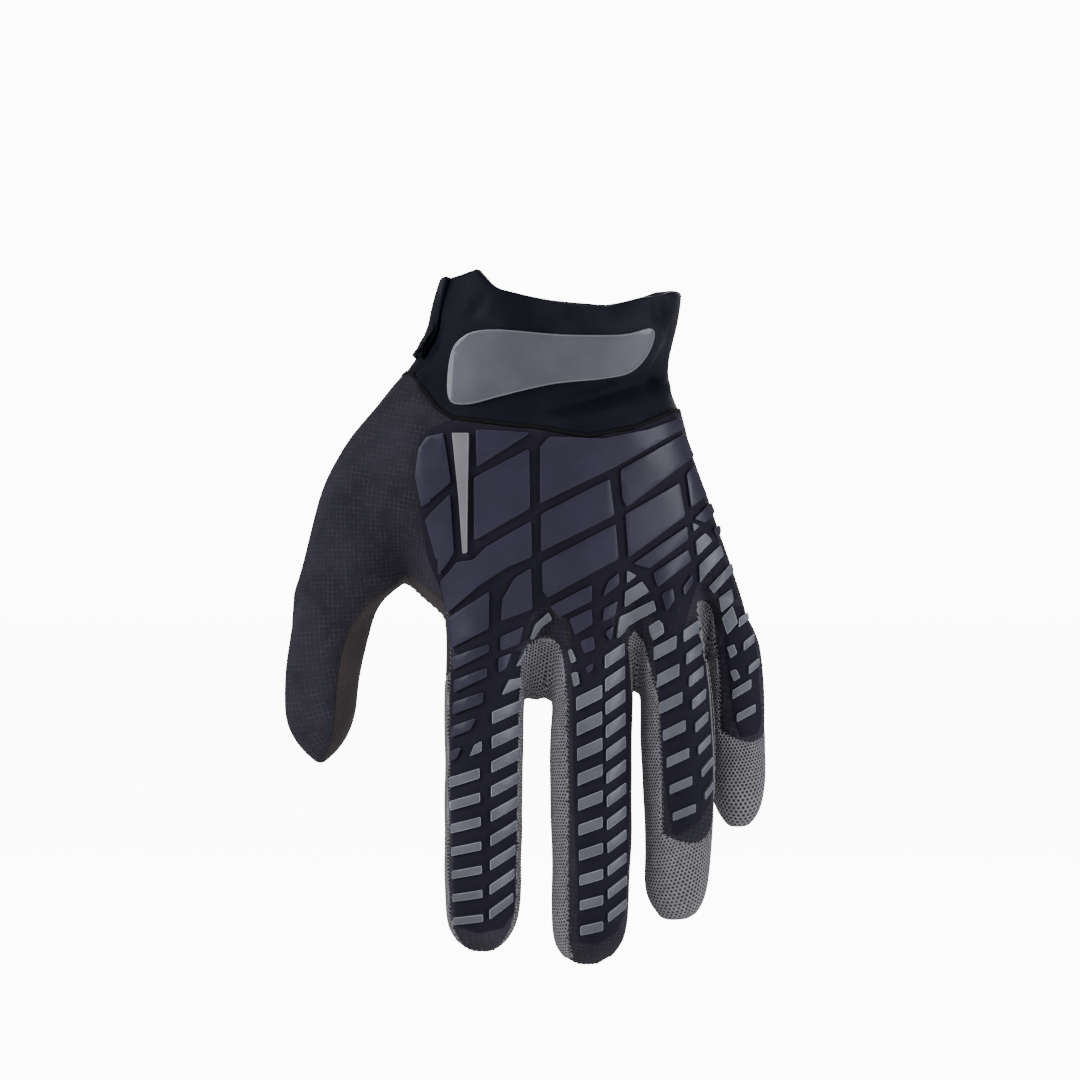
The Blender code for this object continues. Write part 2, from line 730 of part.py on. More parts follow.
def combine(thing, other, operation):
    """Cut, join or trim one object with another."""
    change = thing.modifiers.new(operation.lower() + "_" + other.name, "BOOLEAN")
    change.operation = operation
    change.solver = "EXACT"
    change.object = other


def strip_outline(start, end, start_width, end_width, past=0.0):
    """A straight strip, drawn a little past both ends."""
    start, end = Vector(start), Vector(end)
    along = (end - start).normalized()
    cross = Vector((-along.y, along.x))
    start, end = start - along * past, end + along * past
    return [tuple(start + cross * start_width / 2), tuple(end + cross * end_width / 2),
            tuple(end - cross * end_width / 2), tuple(start - cross * start_width / 2)]


def rounded(corners, radius, steps=4):
    """An outline with round corners."""
    outline = []
    count = len(corners)
    for i, corner in enumerate(corners):
        corner = Vector(corner)
        before = (Vector(corners[i - 1]) - corner).normalized()
        after = (Vector(corners[(i + 1) % count]) - corner).normalized()
        half = before.angle(after) / 2.0
        reach = radius / math.tan(half)
        centre = corner + (before + after).normalized() * radius / math.sin(half)
        first, last = corner + before * reach - centre, corner + after * reach - centre
        for k in range(steps + 1):
            spoke = mix(first, last, k / steps).normalized() * radius
            outline.append(tuple(centre + spoke))
    return outline


def on_hand(across_share, down_share):
    """A place given across in HAND_WIDTH and down in HAND_LENGTH."""
    return (across_share * HAND_WIDTH, -down_share * HAND_LENGTH)


def groove_prisms(name, lean):
    """The grooves of the hand guard that run one way."""
    outlines = []
    for row in GUARD_GROOVES:
        if row["lean"] == lean:
            start = on_hand(row["x"], row["down"])
            end = on_hand(row["end_x"], row["end_down"])
            outlines.append(strip_outline(start, end, GROOVE_WIDTH, GROOVE_WIDTH))
    return prisms(name, outlines)


def rib_outline(extra):
    """The tapered rib, grown by a clearance all round."""
    top = on_hand(*RIB_TOP)
    end = (top[0] + RIB_LEAN * RIB_LENGTH, top[1] - RIB_LENGTH)
    return strip_outline(top, end, RIB_TOP_WIDTH + 2 * extra, RIB_END_WIDTH + 2 * extra,
                         past=extra)


def make_guard(skin, finish):
    """The moulded guard on the back of the hand: a film with raised blocks."""
    faces = skin.pick("guard")
    guard = wall("hand_guard", skin, faces, FILM_GAP, FILM_GAP + FILM_WALL,
                 TREAD_MARGIN, finish)
    low = FILM_GAP + FILM_WALL - FILM_OVERLAP
    blocks = wall("guard_blocks", skin, faces, low, FILM_GAP + FILM_WALL + BLOCK_HEIGHT,
                  BLOCK_MARGIN)
    hide(blocks)
    for lean in ("upright", "slanting", "short"):
        combine(blocks, groove_prisms("guard_grooves_" + lean, lean), "DIFFERENCE")
    slot = prisms("rib_slot", [rib_outline(RIB_CLEARANCE)])
    combine(blocks, slot, "DIFFERENCE")
    combine(guard, blocks, "UNION")
    combine(guard, slot, "DIFFERENCE")
    return guard


def make_rib(skin, finish):
    """The tapered rib that stands in the guard's slot."""
    rib = wall("back_rib", skin, skin.pick("guard"), FILM_GAP, FILM_GAP + RIB_HEIGHT,
               TREAD_MARGIN, finish)
    combine(rib, prisms("rib_outline", [rib_outline(0.0)]), "INTERSECT")
    return rib


def make_tread(skin, digit, finish):
    """The moulded bars on the back of a finger, on their film."""
    name = digit["name"]
    faces = skin.pick(name + "_tread")
    tread = wall(name + "_tread", skin, faces, FILM_GAP, FILM_GAP + FILM_WALL,
                 TREAD_MARGIN, finish)
    low = FILM_GAP + FILM_WALL - FILM_OVERLAP
    bars = wall(name + "_bars", skin, faces, low, FILM_GAP + FILM_WALL + BAR_HEIGHT,
                BLOCK_MARGIN)
    hide(bars)
    combine(bars, prisms(name + "_bar_outlines", bar_outlines(digit)), "INTERSECT")
    combine(tread, bars, "UNION")
    return tread


def bar_outlines(digit):
    """Two files of slanted bars down a finger."""
    name = digit["name"]
    reach = BACK_ENDS.get(name, 1.0) * digit["length"] - BAR_PITCH * BAR_END[name]
    count = int((reach - BAR_PITCH * BAR_START) / BAR_PITCH) + 1
    outlines = []
    for k in range(count):
        down = BAR_PITCH * (BAR_START + k)
        at = down / digit["length"]
        sections = DIGIT_SECTIONS[name]
        half = digit["width"] / 2.0 * read(sections, "at", "girth", at)
        middle = (digit["axis"] * HAND_WIDTH
                  + read(sections, "at", "side", at) * digit["width"])
        z = -digit["base"] * HAND_LENGTH - down
        for first, last in BAR_FILES[name]:
            left, right = middle + first * half, middle + last * half
            rise = BAR_SLANT * (right - left)
            outlines.append([(left, z), (right, z + rise),
                             (right, z + rise - BAR_BREADTH), (left, z - BAR_BREADTH)])
    return outlines


def make_plate(skin, finish):
    """The plain moulded plate on the cuff."""
    plate = wall("cuff_plate", skin, skin.pick("cuff_front"), SEAM_GAP,
                 SEAM_GAP + PLATE_HEIGHT, EDGE_SET_IN, finish)
    middle = on_hand(*PLATE_MIDDLE)
    half, rise = PLATE_LENGTH / 2.0, PLATE_WIDTH / 2.0
    corners = [(middle[0] - half, middle[1] - rise),
               (middle[0] + half * PLATE_END_TAPER, middle[1] - rise * PLATE_END_RISE),
               (middle[0] + half, middle[1] + rise * PLATE_END_TAPER),
               (middle[0] - half * PLATE_START_TAPER, middle[1] + rise)]
    combine(plate, prisms("plate_outline", [rounded(corners, PLATE_ROUND)]), "INTERSECT")
    return plate


def make_panels(skin):
    """The sewn panels, each with its own wall under the skin."""
    woven = material("woven_fabric")
    leather = material("synthetic_leather")
    mesh = material("open_mesh")
    neoprene = material("neoprene")
    for name, wall_size, finish in (
            ("back", FABRIC_WALL, woven), ("thumb_back", FABRIC_WALL, woven),
            ("palm", LEATHER_WALL, leather), ("thumb_palm", LEATHER_WALL, leather),
            ("index_side", MESH_WALL, mesh), ("middle_side", MESH_WALL, mesh),
            ("ring_side", MESH_WALL, mesh), ("pinky_side", MESH_WALL, mesh),
            ("cuff", NEOPRENE_WALL, neoprene)):
        set_in = GUSSET_SET_IN if finish == mesh else SEAM_GAP / 2.0
        wall(NODE_NAMES[name], skin, skin.pick(name), -wall_size, 0.0, set_in, finish)
    wall("cuff_flap", skin, skin.pick("cuff_flap"), SEAM_GAP, SEAM_GAP + FLAP_WALL,
         SEAM_GAP, neoprene)


def make_mouldings(skin):
    """The rubber mouldings on the back."""
    rubber = material("moulded_rubber")
    grey = material("grey_rubber")
    make_guard(skin, rubber)
    make_rib(skin, grey)
    make_plate(skin, grey)
    for digit in DIGITS[1:]:
        make_tread(skin, digit, rubber)


remove_all()
whole_skin = build_skin()
whole_skin.finish()
make_panels(whole_skin)
make_mouldings(whole_skin)
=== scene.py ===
import math

import bmesh
import bpy
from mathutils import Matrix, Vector, noise
from mathutils.bvhtree import BVHTree


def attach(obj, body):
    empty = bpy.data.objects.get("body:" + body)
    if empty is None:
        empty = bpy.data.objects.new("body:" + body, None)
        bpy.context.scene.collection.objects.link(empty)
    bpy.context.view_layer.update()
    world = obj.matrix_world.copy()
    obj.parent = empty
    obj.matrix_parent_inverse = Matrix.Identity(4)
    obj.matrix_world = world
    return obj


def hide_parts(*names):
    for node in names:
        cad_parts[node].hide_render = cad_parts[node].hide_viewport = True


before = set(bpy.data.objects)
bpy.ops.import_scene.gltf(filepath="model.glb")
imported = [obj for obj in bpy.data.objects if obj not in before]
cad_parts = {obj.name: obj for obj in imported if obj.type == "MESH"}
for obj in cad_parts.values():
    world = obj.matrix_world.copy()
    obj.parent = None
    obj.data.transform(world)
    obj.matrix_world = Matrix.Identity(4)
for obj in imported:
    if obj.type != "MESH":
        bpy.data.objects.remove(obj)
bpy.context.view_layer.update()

# The view.  The glove hangs upright, seen square on from the back of the hand,
# from far enough away that its fingers stay parallel.
PHOTO_SIDE = 1080
METRES_A_PIXEL = 0.00032
WRIST_PIXEL = (540, 365)
CAMERA_DISTANCE = 2.4
SENSOR_WIDTH = 36.0
QUARTER_TURN = math.radians(90.0)


def spot(across, down):
    """Turn a place in the photograph into x and z on the glove."""
    return Vector(((across - WRIST_PIXEL[0]) * METRES_A_PIXEL,
                   (WRIST_PIXEL[1] - down) * METRES_A_PIXEL))


view_middle = spot(PHOTO_SIDE / 2, PHOTO_SIDE / 2)
bpy.ops.object.camera_add(location=(view_middle.x, -CAMERA_DISTANCE, view_middle.y),
                          rotation=(QUARTER_TURN, 0.0, 0.0))
camera = bpy.context.object
camera.data.sensor_width = SENSOR_WIDTH
camera.data.lens = SENSOR_WIDTH * CAMERA_DISTANCE / (PHOTO_SIDE * METRES_A_PIXEL)
bpy.context.scene.camera = camera

# The studio.  A wide pale floor lies below the fingertips, in a pale surround, with a
# big soft light high on the left, a weaker one on the right and one behind for the palm.
FLOOR_HEIGHT = -0.24
FLOOR_SIZE = 30.0
FLOOR_COLOUR = (0.93, 0.93, 0.93, 1.0)
FLOOR_ROUGHNESS = 0.9
SURROUND_COLOUR = (1.0, 1.0, 1.0, 1.0)
SURROUND_LIGHT = 0.30
BACKDROP_GLOW = 12.0
FLOOR_GLOW = 11.2

# Each light's name, place, width in metres and power in watts
LIGHTS = (
    ("key", (-1.6, -0.8, 0.75), 0.9, 22.0),
    ("fill", (1.4, -0.8, 0.2), 0.8, 13.0),
    ("rear", (0.3, 1.6, 0.7), 1.2, 12.0))

bpy.ops.mesh.primitive_plane_add(size=FLOOR_SIZE, location=(0.0, 0.0, FLOOR_HEIGHT))
floor = bpy.context.object
floor.name = "studio_floor"
floor_paint = bpy.data.materials.new("pale_floor")
floor_paint.use_nodes = True
floor_shader = floor_paint.node_tree.nodes["Principled BSDF"]
floor_shader.inputs["Base Color"].default_value = FLOOR_COLOUR
floor_shader.inputs["Roughness"].default_value = FLOOR_ROUGHNESS
floor_shader.inputs["Emission Color"].default_value = SURROUND_COLOUR
seen = floor_paint.node_tree.nodes.new("ShaderNodeLightPath").outputs["Is Camera Ray"]
glow = floor_paint.node_tree.nodes.new("ShaderNodeMath")
glow.operation = "MULTIPLY"
glow.inputs[1].default_value = FLOOR_GLOW
floor_paint.node_tree.links.new(seen, glow.inputs[0])
floor_paint.node_tree.links.new(glow.outputs[0], floor_shader.inputs["Emission Strength"])
floor.data.materials.append(floor_paint)

surround = bpy.data.worlds.new("pale_surround")
surround.use_nodes = True
surround.node_tree.nodes["Background"].inputs["Color"].default_value = SURROUND_COLOUR
seen = surround.node_tree.nodes.new("ShaderNodeLightPath").outputs["Is Camera Ray"]
strength = surround.node_tree.nodes.new("ShaderNodeMapRange")
strength.inputs["To Min"].default_value = SURROUND_LIGHT
strength.inputs["To Max"].default_value = BACKDROP_GLOW
surround.node_tree.links.new(seen, strength.inputs["Value"])
surround.node_tree.links.new(strength.outputs["Result"],
                             surround.node_tree.nodes["Background"].inputs["Strength"])
bpy.context.scene.world = surround
for light_name, place, size, power in LIGHTS:
    aim = Vector((0.0, 0.0, view_middle.y)) - Vector(place)
    turn = aim.to_track_quat("-Z", "Y").to_euler()
    bpy.ops.object.light_add(type="AREA", location=place, rotation=turn)
    lamp = bpy.context.object
    lamp.name = light_name
    lamp.data.size = size
    lamp.data.energy = power

# The woven back.  Two panels of ripstop cloth: one over the hand and down the backs of
# the fingers, one over the thumb.  They are cut flat, sewn and filled by the hand.
CLOTH_CREASE = 0.85
CLOTH_LEVELS = 2
MERGE_GAP = 0.00001
PATTERN_MARGIN = 0.01
SQUARE_FACING = 0.7
SQUARE_DEPTH = 0.004
SEAM_ANGLE = math.radians(55.0)
QUAD_ANGLE = math.radians(60.0)
CRUMPLE_SIZE = 0.014
CRUMPLE_DEPTH = 0.00042
CRUMPLE_SEED = 3
FILL_OUT = 0.00028
FRONT_DEPTH = 0.006
FOLD_REACH = 3.0
FOLD_END = 0.12
WEAVE_COLOUR = (0.0290, 0.0270, 0.0400, 1.0)
THREAD_COLOUR = (0.082, 0.079, 0.108, 1.0)
RIPSTOP_PITCH = 0.0015
WEAVE_PITCH = 0.00034
WEAVE_RELIEF = 0.00012
WEAVE_ROUGHNESS = 0.82
FADE_SCALE = 45.0
FADE_LIFT = 1.7

# Folds: where each starts and ends in the photograph, and how wide and how deep it is
FOLDS = (
    ((524, 434), (660, 400), 0.0036, 0.0022),
    ((560, 408), (664, 376), 0.0024, -0.0021),
    ((668, 344), (648, 390), 0.0018, -0.0025),
    ((678, 350), (664, 398), 0.0020, 0.0016),
    ((656, 300), (672, 340), 0.0026, -0.0022),
    ((432, 346), (412, 376), 0.0020, -0.0024),
    ((424, 372), (410, 392), 0.0022, 0.0014),
    ((436, 284), (433, 344), 0.0015, -0.0018),
    ((484, 302), (472, 316), 0.0022, -0.0010),
    ((500, 312), (650, 318), 0.0026, -0.0010),
    ((547, 650), (548, 672), 0.0022, -0.0018),
    ((635, 644), (636, 660), 0.0015, -0.0012),
    ((372, 596), (420, 572), 0.0016, -0.0007),
    ((362, 575), (412, 556), 0.0018, -0.0006),
    ((350, 610), (385, 585), 0.0015, 0.0005),
    ((318, 660), (352, 648), 0.0018, -0.0005),
    ((310, 690), (350, 676), 0.0018, -0.0004),
    ((452, 765), (512, 757), 0.0020, -0.0005),
    ((455, 850), (512, 842), 0.0020, -0.0005),
    ((572, 775), (628, 765), 0.0020, -0.0005),
    ((575, 862), (628, 852), 0.0020, -0.0005),
    ((662, 745), (705, 735), 0.0018, -0.0004))

# The webs between the fingers hang lower than their seams: where, how far round, and how
# far across and down, all in the photograph's pixels
SAGS = (((544, 692), 20.0, (-1.0, 13.0)),
        ((634, 682), 15.0, (0.0, 10.0)),
        ((706, 642), 13.0, (0.0, 16.0)))

fold_lines = [(spot(*first), spot(*last), width, depth) for first, last, width, depth in FOLDS]
sag_places = [(spot(*middle), reach, pull) for middle, reach, pull in SAGS]

# The noise starts at the time of day unless it is given a seed
noise.seed_set(CRUMPLE_SEED)


def only(thing):
    """Select one object and nothing else."""
    if bpy.context.object and bpy.context.object.mode != "OBJECT":
        bpy.ops.object.mode_set(mode="OBJECT")
    bpy.ops.object.select_all(action="DESELECT")
    bpy.context.view_layer.objects.active = thing
    thing.select_set(True)


def crumple(point, normal):
    """Where soft cloth settles: slightly uneven, with its few folds."""
    shift = noise.noise_vector(point / CRUMPLE_SIZE) * CRUMPLE_DEPTH
    here = Vector((point.x, point.z))
    for middle, reach, (across, down) in sag_places:
        away = (here - middle).length / (reach * METRES_A_PIXEL)
        pull = math.exp(-away * away) * METRES_A_PIXEL
        shift += Vector((across * pull, 0.0, -down * pull))
    outward = normal if normal.y < 0.0 else -normal
    front = max(min(-point.y / FRONT_DEPTH, 1.0), 0.0)
    for start, end, width, depth in fold_lines:
        along = (here - start).dot(end - start) / (end - start).length_squared
        along = max(min(along, 1.0), 0.0)
        away = (here - start.lerp(end, along)).length / width
        if away < FOLD_REACH:
            fade = math.sin(math.pi * (FOLD_END + (1.0 - 2.0 * FOLD_END) * along))
            shift += outward * (depth * math.exp(-away * away) * fade * front)
    return point + shift


def sewn_panel(node, name, facing, levels=CLOTH_LEVELS, crease=CLOTH_CREASE,
               fill=FILL_OUT):
    """A panel over its CAD wall, with its flat pattern in metres.

    The pattern is squared up on the side that is faced: -1 the back, 1 the palm, 0 none.
    """
    panel = bpy.data.objects.new(name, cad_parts[node].data.copy())
    panel.data.name = name
    panel.data.materials.clear()
    bpy.context.collection.objects.link(panel)
    only(panel)
    bpy.ops.mesh.customdata_custom_splitnormals_clear()
    while panel.data.uv_layers:
        panel.data.uv_layers.remove(panel.data.uv_layers[0])
    bpy.ops.object.mode_set(mode="EDIT")
    bpy.ops.mesh.select_all(action="SELECT")
    bpy.ops.mesh.remove_doubles(threshold=MERGE_GAP)
    bpy.ops.mesh.tris_convert_to_quads(face_threshold=QUAD_ANGLE, shape_threshold=QUAD_ANGLE)
    bpy.ops.mesh.select_mode(type="EDGE")
    bpy.ops.mesh.select_all(action="DESELECT")
    bpy.ops.mesh.edges_select_sharp(sharpness=SEAM_ANGLE)
    bpy.ops.mesh.mark_seam(clear=False)
    bpy.ops.transform.edge_crease(value=crease)
    bpy.ops.mesh.select_all(action="SELECT")
    bpy.ops.uv.unwrap(method="ANGLE_BASED", margin=PATTERN_MARGIN)
    bpy.ops.object.mode_set(mode="OBJECT")
    square_up(panel.data, facing)
    refine = panel.modifiers.new("refine", "SUBSURF")
    refine.levels = levels
    refine.render_levels = levels
    bpy.ops.object.modifier_apply(modifier=refine.name)
    filled = panel.modifiers.new("filled", "DISPLACE")
    filled.strength = fill
    filled.mid_level = 0.0
    bpy.ops.object.modifier_apply(modifier=filled.name)
    normals = [vertex.normal.copy() for vertex in panel.data.vertices]
    for vertex, normal in zip(panel.data.vertices, normals):
        vertex.co = crumple(vertex.co, normal)
    bpy.ops.object.shade_smooth()
    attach(panel, "root")
    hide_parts(node)
    return panel


def flat_size(pattern, face):
    """Area of a face on the flat pattern."""
    corners = [pattern[k].uv for k in face.loop_indices]
    return abs(sum(a.x * b.y - b.x * a.y
                   for a, b in zip(corners, corners[1:] + corners[:1]))) / 2.0


def square_up(mesh, facing):
    """Turn and scale the flat pattern so that it lies upright, in metres."""
    pattern = mesh.uv_layers.active.data
    if not facing:
        cloth_area = sum(face.area for face in mesh.polygons)
        flat_area = sum(flat_size(pattern, face) for face in mesh.polygons)
        for loop in pattern:
            loop.uv *= math.sqrt(cloth_area / flat_area)
        return
    shown = [face for face in mesh.polygons
             if face.normal.y * facing > SQUARE_FACING
             and face.center.y * facing > -SQUARE_DEPTH]
    loops = [k for face in shown for k in face.loop_indices]
    corners = [mesh.vertices[mesh.loops[k].vertex_index].co for k in loops]
    on_glove = [complex(corner.x, corner.z) for corner in corners]
    flat = [complex(*pattern[k].uv) for k in loops]
    glove_middle = sum(on_glove) / len(loops)
    flat_middle = sum(flat) / len(loops)
    size = sum(abs(place - flat_middle) ** 2 for place in flat)
    fits = []
    for mirrored in (False, True):
        turn = 0.0
        for worn, place in zip(on_glove, flat):
            place = place - flat_middle
            place = place.conjugate() if mirrored else place
            turn += (worn - glove_middle) * place.conjugate()
        fits.append((abs(turn), mirrored, turn / size))
    _, mirrored, turn = max(fits, key=lambda fit: fit[0])
    for loop in pattern:
        place = complex(*loop.uv) - flat_middle
        place = (place.conjugate() if mirrored else place) * turn
        loop.uv = (place.real, place.imag)


back = sewn_panel("back_panel", "woven_back", -1.0)
thumb_back = sewn_panel("thumb_back_panel", "woven_thumb", -1.0)


def new_group(name, inputs, outputs):
    """A shader node group with its sockets, inputs given as name and starting value."""
    group = bpy.data.node_groups.new(name, "ShaderNodeTree")
    for label, start in inputs:
        kind = "NodeSocketVector" if start is None else "NodeSocketFloat"
        socket = group.interface.new_socket(label, in_out="INPUT", socket_type=kind)
        if start is not None:
            socket.default_value = start
    for label in outputs:
        group.interface.new_socket(label, in_out="OUTPUT", socket_type="NodeSocketFloat")
    source = group.nodes.new("NodeGroupInput")
    target = group.nodes.new("NodeGroupOutput")
    return group, source.outputs, target.inputs


def put(tree, socket, value):
    """Feed a socket from another socket, or set it."""
    if isinstance(value, bpy.types.NodeSocket):
        tree.links.new(value, socket)
    elif value is not None:
        socket.default_value = value


def work_out(tree, operation, first, second=None, third=None):
    """One step of arithmetic."""
    node = tree.nodes.new("ShaderNodeMath")
    node.operation = operation
    for socket, value in zip(node.inputs, (first, second, third)):
        put(tree, socket, value)
    return node.outputs[0]


def ease(tree, value, low, high):
    """A mask that goes smoothly from 0 at low to 1 at high."""
    node = tree.nodes.new("ShaderNodeMapRange")
    node.interpolation_type = "SMOOTHSTEP"
    for label, given in (("Value", value), ("From Min", low), ("From Max", high)):
        put(tree, node.inputs[label], given)
    return node.outputs["Result"]


def speckle(tree, vector, scale, detail=2.0):
    """Fine unevenness."""
    node = tree.nodes.new("ShaderNodeTexNoise")
    put(tree, node.inputs["Vector"], vector)
    node.inputs["Scale"].default_value = scale
    node.inputs["Detail"].default_value = detail
    return node.outputs["Fac"]


def wave(tree, value, pitch):
    """A cosine along one direction."""
    turns = work_out(tree, "MULTIPLY", value, 2.0 * math.pi)
    return work_out(tree, "COSINE", work_out(tree, "DIVIDE", turns, pitch))


def split(tree, vector):
    """The separate coordinates of a vector."""
    node = tree.nodes.new("ShaderNodeSeparateXYZ")
    put(tree, node.inputs[0], vector)
    return node.outputs


def weave_group():
    """Plain weave with a grid of thicker threads, worn away in places."""
    group, given, result = new_group(
        "ripstop_weave", (("Cloth", None), ("Grid", RIPSTOP_PITCH), ("Weave", WEAVE_PITCH)),
        ("Threads", "Height"))
    u, v = split(group, given["Cloth"])[:2]
    ripples, lines = [], []
    for here, other in ((u, v), (v, u)):
        ripples.append(work_out(group, "ABSOLUTE", wave(group, here, given["Weave"])))
        cell = work_out(group, "DIVIDE", here, given["Grid"])
        beside = work_out(group, "PINGPONG", cell, 0.5)
        line = work_out(group, "SUBTRACT", 1.0, ease(group, beside, 0.05, 0.15))
        dashes = ease(group, wave(group, other, given["Weave"]), -0.9, 0.7)
        lines.append(work_out(group, "MULTIPLY", line, dashes))
    worn = ease(group, speckle(group, given["Cloth"], 260.0), 0.30, 0.66)
    grid = work_out(group, "MAXIMUM", *lines)
    put(group, result["Threads"], work_out(group, "MULTIPLY", grid, worn))
    plain = work_out(group, "MULTIPLY", *ripples)
    put(group, result["Height"], work_out(group, "MULTIPLY_ADD", grid, 0.9, plain))
    return group


ripstop_weave = weave_group()


def finish_material(name, base, roughness, settings):
    """A material with its shader set, ready for its own nodes."""
    finish = bpy.data.materials.new(name)
    finish.use_nodes = True
    tree = finish.node_tree
    shader = tree.nodes["Principled BSDF"]
    shader.inputs["Base Color"].default_value = base
    shader.inputs["Roughness"].default_value = roughness
    for label, value in settings.items():
        shader.inputs[label].default_value = value
    places = tree.nodes.new("ShaderNodeTexCoord")
    return finish, tree, shader, places.outputs


def shaded(colour, share):
    """The same colour, lighter or darker."""
    return [min(c * share, 1.0) for c in colour[:3]] + [1.0]


def blend_colours(tree, mask, first, second):
    """One colour where the mask is 0 and the other where it is 1."""
    node = tree.nodes.new("ShaderNodeMix")
    node.data_type = "RGBA"
    put(tree, node.inputs["Factor"], mask)
    put(tree, node.inputs["A"], first)
    put(tree, node.inputs["B"], second)
    return node.outputs["Result"]


def bump(tree, height, distance, strength=1.0, normal=None):
    """Small relief."""
    node = tree.nodes.new("ShaderNodeBump")
    put(tree, node.inputs["Height"], height)
    node.inputs["Distance"].default_value = distance
    node.inputs["Strength"].default_value = strength
    put(tree, node.inputs["Normal"], normal)
    return node.outputs["Normal"]


def use_group(tree, group, **values):
    """Place a group and feed it."""
    node = tree.nodes.new("ShaderNodeGroup")
    node.node_tree = group
    for label, value in values.items():
        put(tree, node.inputs[label], value)
    return node.outputs


def woven_finish():
    """Dull ripstop cloth, faded in patches."""
    finish, tree, shader, places = finish_material(
        "woven_cloth", WEAVE_COLOUR, WEAVE_ROUGHNESS,
        {"Sheen Weight": 0.03, "Sheen Roughness": 0.4, "Specular IOR Level": 0.18})
    cloth = use_group(tree, ripstop_weave, Cloth=places["UV"])
    faded = ease(tree, speckle(tree, places["Object"], FADE_SCALE), 0.35, 0.7)
    base = blend_colours(tree, faded, WEAVE_COLOUR, shaded(WEAVE_COLOUR, FADE_LIFT))
    threads = blend_colours(tree, cloth["Threads"], base, THREAD_COLOUR)
    put(tree, shader.inputs["Base Color"], threads)
    put(tree, shader.inputs["Normal"], bump(tree, cloth["Height"], WEAVE_RELIEF, 0.9))
    return finish


woven_cloth = woven_finish()
back.data.materials.append(woven_cloth)
thumb_back.data.materials.append(woven_cloth)

# The palm.  Synthetic leather with a suede-like face, in one piece for the palm and the
# fingers' undersides and one for the thumb.
LEATHER_COLOUR = (0.039, 0.0315, 0.0345, 1.0)
LEATHER_WORN = (0.052, 0.043, 0.046, 1.0)
LEATHER_ROUGHNESS = 0.78
NAP_SCALE = 120.0
GRAIN_SCALE = 900.0
GRAIN_RELIEF = 0.00020

palm = sewn_panel("palm_panel", "leather_palm", 1.0)
thumb_palm = sewn_panel("thumb_palm_panel", "leather_thumb", 1.0)


def leather_finish():
    """Suede-like leather: a cloudy nap over a fine grain."""
    finish, tree, shader, places = finish_material(
        "palm_leather", LEATHER_COLOUR, LEATHER_ROUGHNESS,
        {"Sheen Weight": 0.06, "Specular IOR Level": 0.2})
    nap = speckle(tree, places["Object"], NAP_SCALE, 4.0)
    base = blend_colours(tree, ease(tree, nap, 0.35, 0.7), LEATHER_COLOUR, LEATHER_WORN)
    put(tree, shader.inputs["Base Color"], base)
    grain = speckle(tree, places["Object"], GRAIN_SCALE, 3.0)
    put(tree, shader.inputs["Normal"], bump(tree, grain, GRAIN_RELIEF, 0.7))
    return finish


palm_leather = leather_finish()
palm.data.materials.append(palm_leather)
thumb_palm.data.materials.append(palm_leather)

# The open mesh.  Strips of grey knitted mesh let in between the fingers; on the ring and
# little finger the mesh also goes over the tip.
MESH_THREAD = (0.330, 0.325, 0.365, 1.0)
MESH_HOLE_SHADE = (0.018, 0.018, 0.022, 1.0)
MESH_PITCH = 0.00102
MESH_RELIEF = 0.00022
MESH_ROUGHNESS = 0.75
MESH_FILL = 0.00055
ROW_LEAN = math.sqrt(3.0) / 2.0

# Each strip's CAD wall, its name, and how often it is refined
MESH_STRIPS = (
    ("index_outer_gusset", "mesh_index_outer", 3),
    ("index_middle_gusset", "mesh_index_middle", 2),
    ("middle_ring_gusset", "mesh_middle_ring", 2),
    ("ring_pinky_gusset", "mesh_ring_pinky", 2))

gussets = [sewn_panel(node, name, 0.0, levels, fill=MESH_FILL)
           for node, name, levels in MESH_STRIPS]


def mesh_group():
    """Round holes in rows, each row shifted by half a hole: three waves a third of a turn apart."""
    group, given, result = new_group("knitted_mesh", (("Cloth", None), ("Pitch", MESH_PITCH)),
                                     ("Hole", "Height"))
    u, v = split(group, given["Cloth"])[:2]
    total = wave(group, u, given["Pitch"])
    for lean in (ROW_LEAN, -ROW_LEAN):
        slanted = work_out(group, "ADD", work_out(group, "MULTIPLY", u, -0.5),
                           work_out(group, "MULTIPLY", v, lean))
        total = work_out(group, "ADD", total, wave(group, slanted, given["Pitch"]))
    put(group, result["Hole"], ease(group, total, 0.25, 1.7))
    put(group, result["Height"], work_out(group, "MULTIPLY", total, -1.0))
    return group


def mesh_finish():
    """Grey knitted thread, darker in random patches of painted shade for where it turns down, with
    round holes painted dark as the shaded inside of the glove.
    """
    finish, tree, shader, places = finish_material("grey_mesh", MESH_THREAD,
                                                   MESH_ROUGHNESS, {})
    knit = use_group(tree, mesh_group(), Cloth=places["UV"])
    # Random patches of painted shade on the thread, and holes painted with the dark shade seen
    # through them
    shade = ease(tree, speckle(tree, places["Object"], 500.0), 0.25, 0.75)
    thread = blend_colours(tree, shade, shaded(MESH_THREAD, 0.72), MESH_THREAD)
    put(tree, shader.inputs["Base Color"], blend_colours(tree, knit["Hole"], thread, MESH_HOLE_SHADE))
    put(tree, shader.inputs["Normal"], bump(tree, knit["Height"], MESH_RELIEF, 0.9))
    return finish


grey_mesh = mesh_finish()
for gusset in gussets:
    gusset.data.materials.append(grey_mesh)

# The cuff.  A soft neoprene band sewn on round the wrist, its top edge cut and left
# unhemmed, with a second layer closing over it at the thumb side.
NEOPRENE_COLOUR = (0.0055, 0.0062, 0.0115, 1.0)
NEOPRENE_LINT_AND_HIGHLIGHT = (0.0155, 0.0168, 0.0245, 1.0)
NEOPRENE_SHEEN = (0.74, 0.78, 1.0, 1.0)
NEOPRENE_ROUGHNESS = 0.5
KNIT_PITCH = 0.00045
KNIT_RELIEF = 0.00006
FOAM_RELIEF = 0.0006
CUFF_CREASE = 0.45
CUFF_LEVELS = 3
RAW_EDGE = 0.0006
RAW_EDGE_SIZE = 0.0011
RAW_EDGE_FROM = -0.0345
RAW_EDGE_WIDTH = 0.003

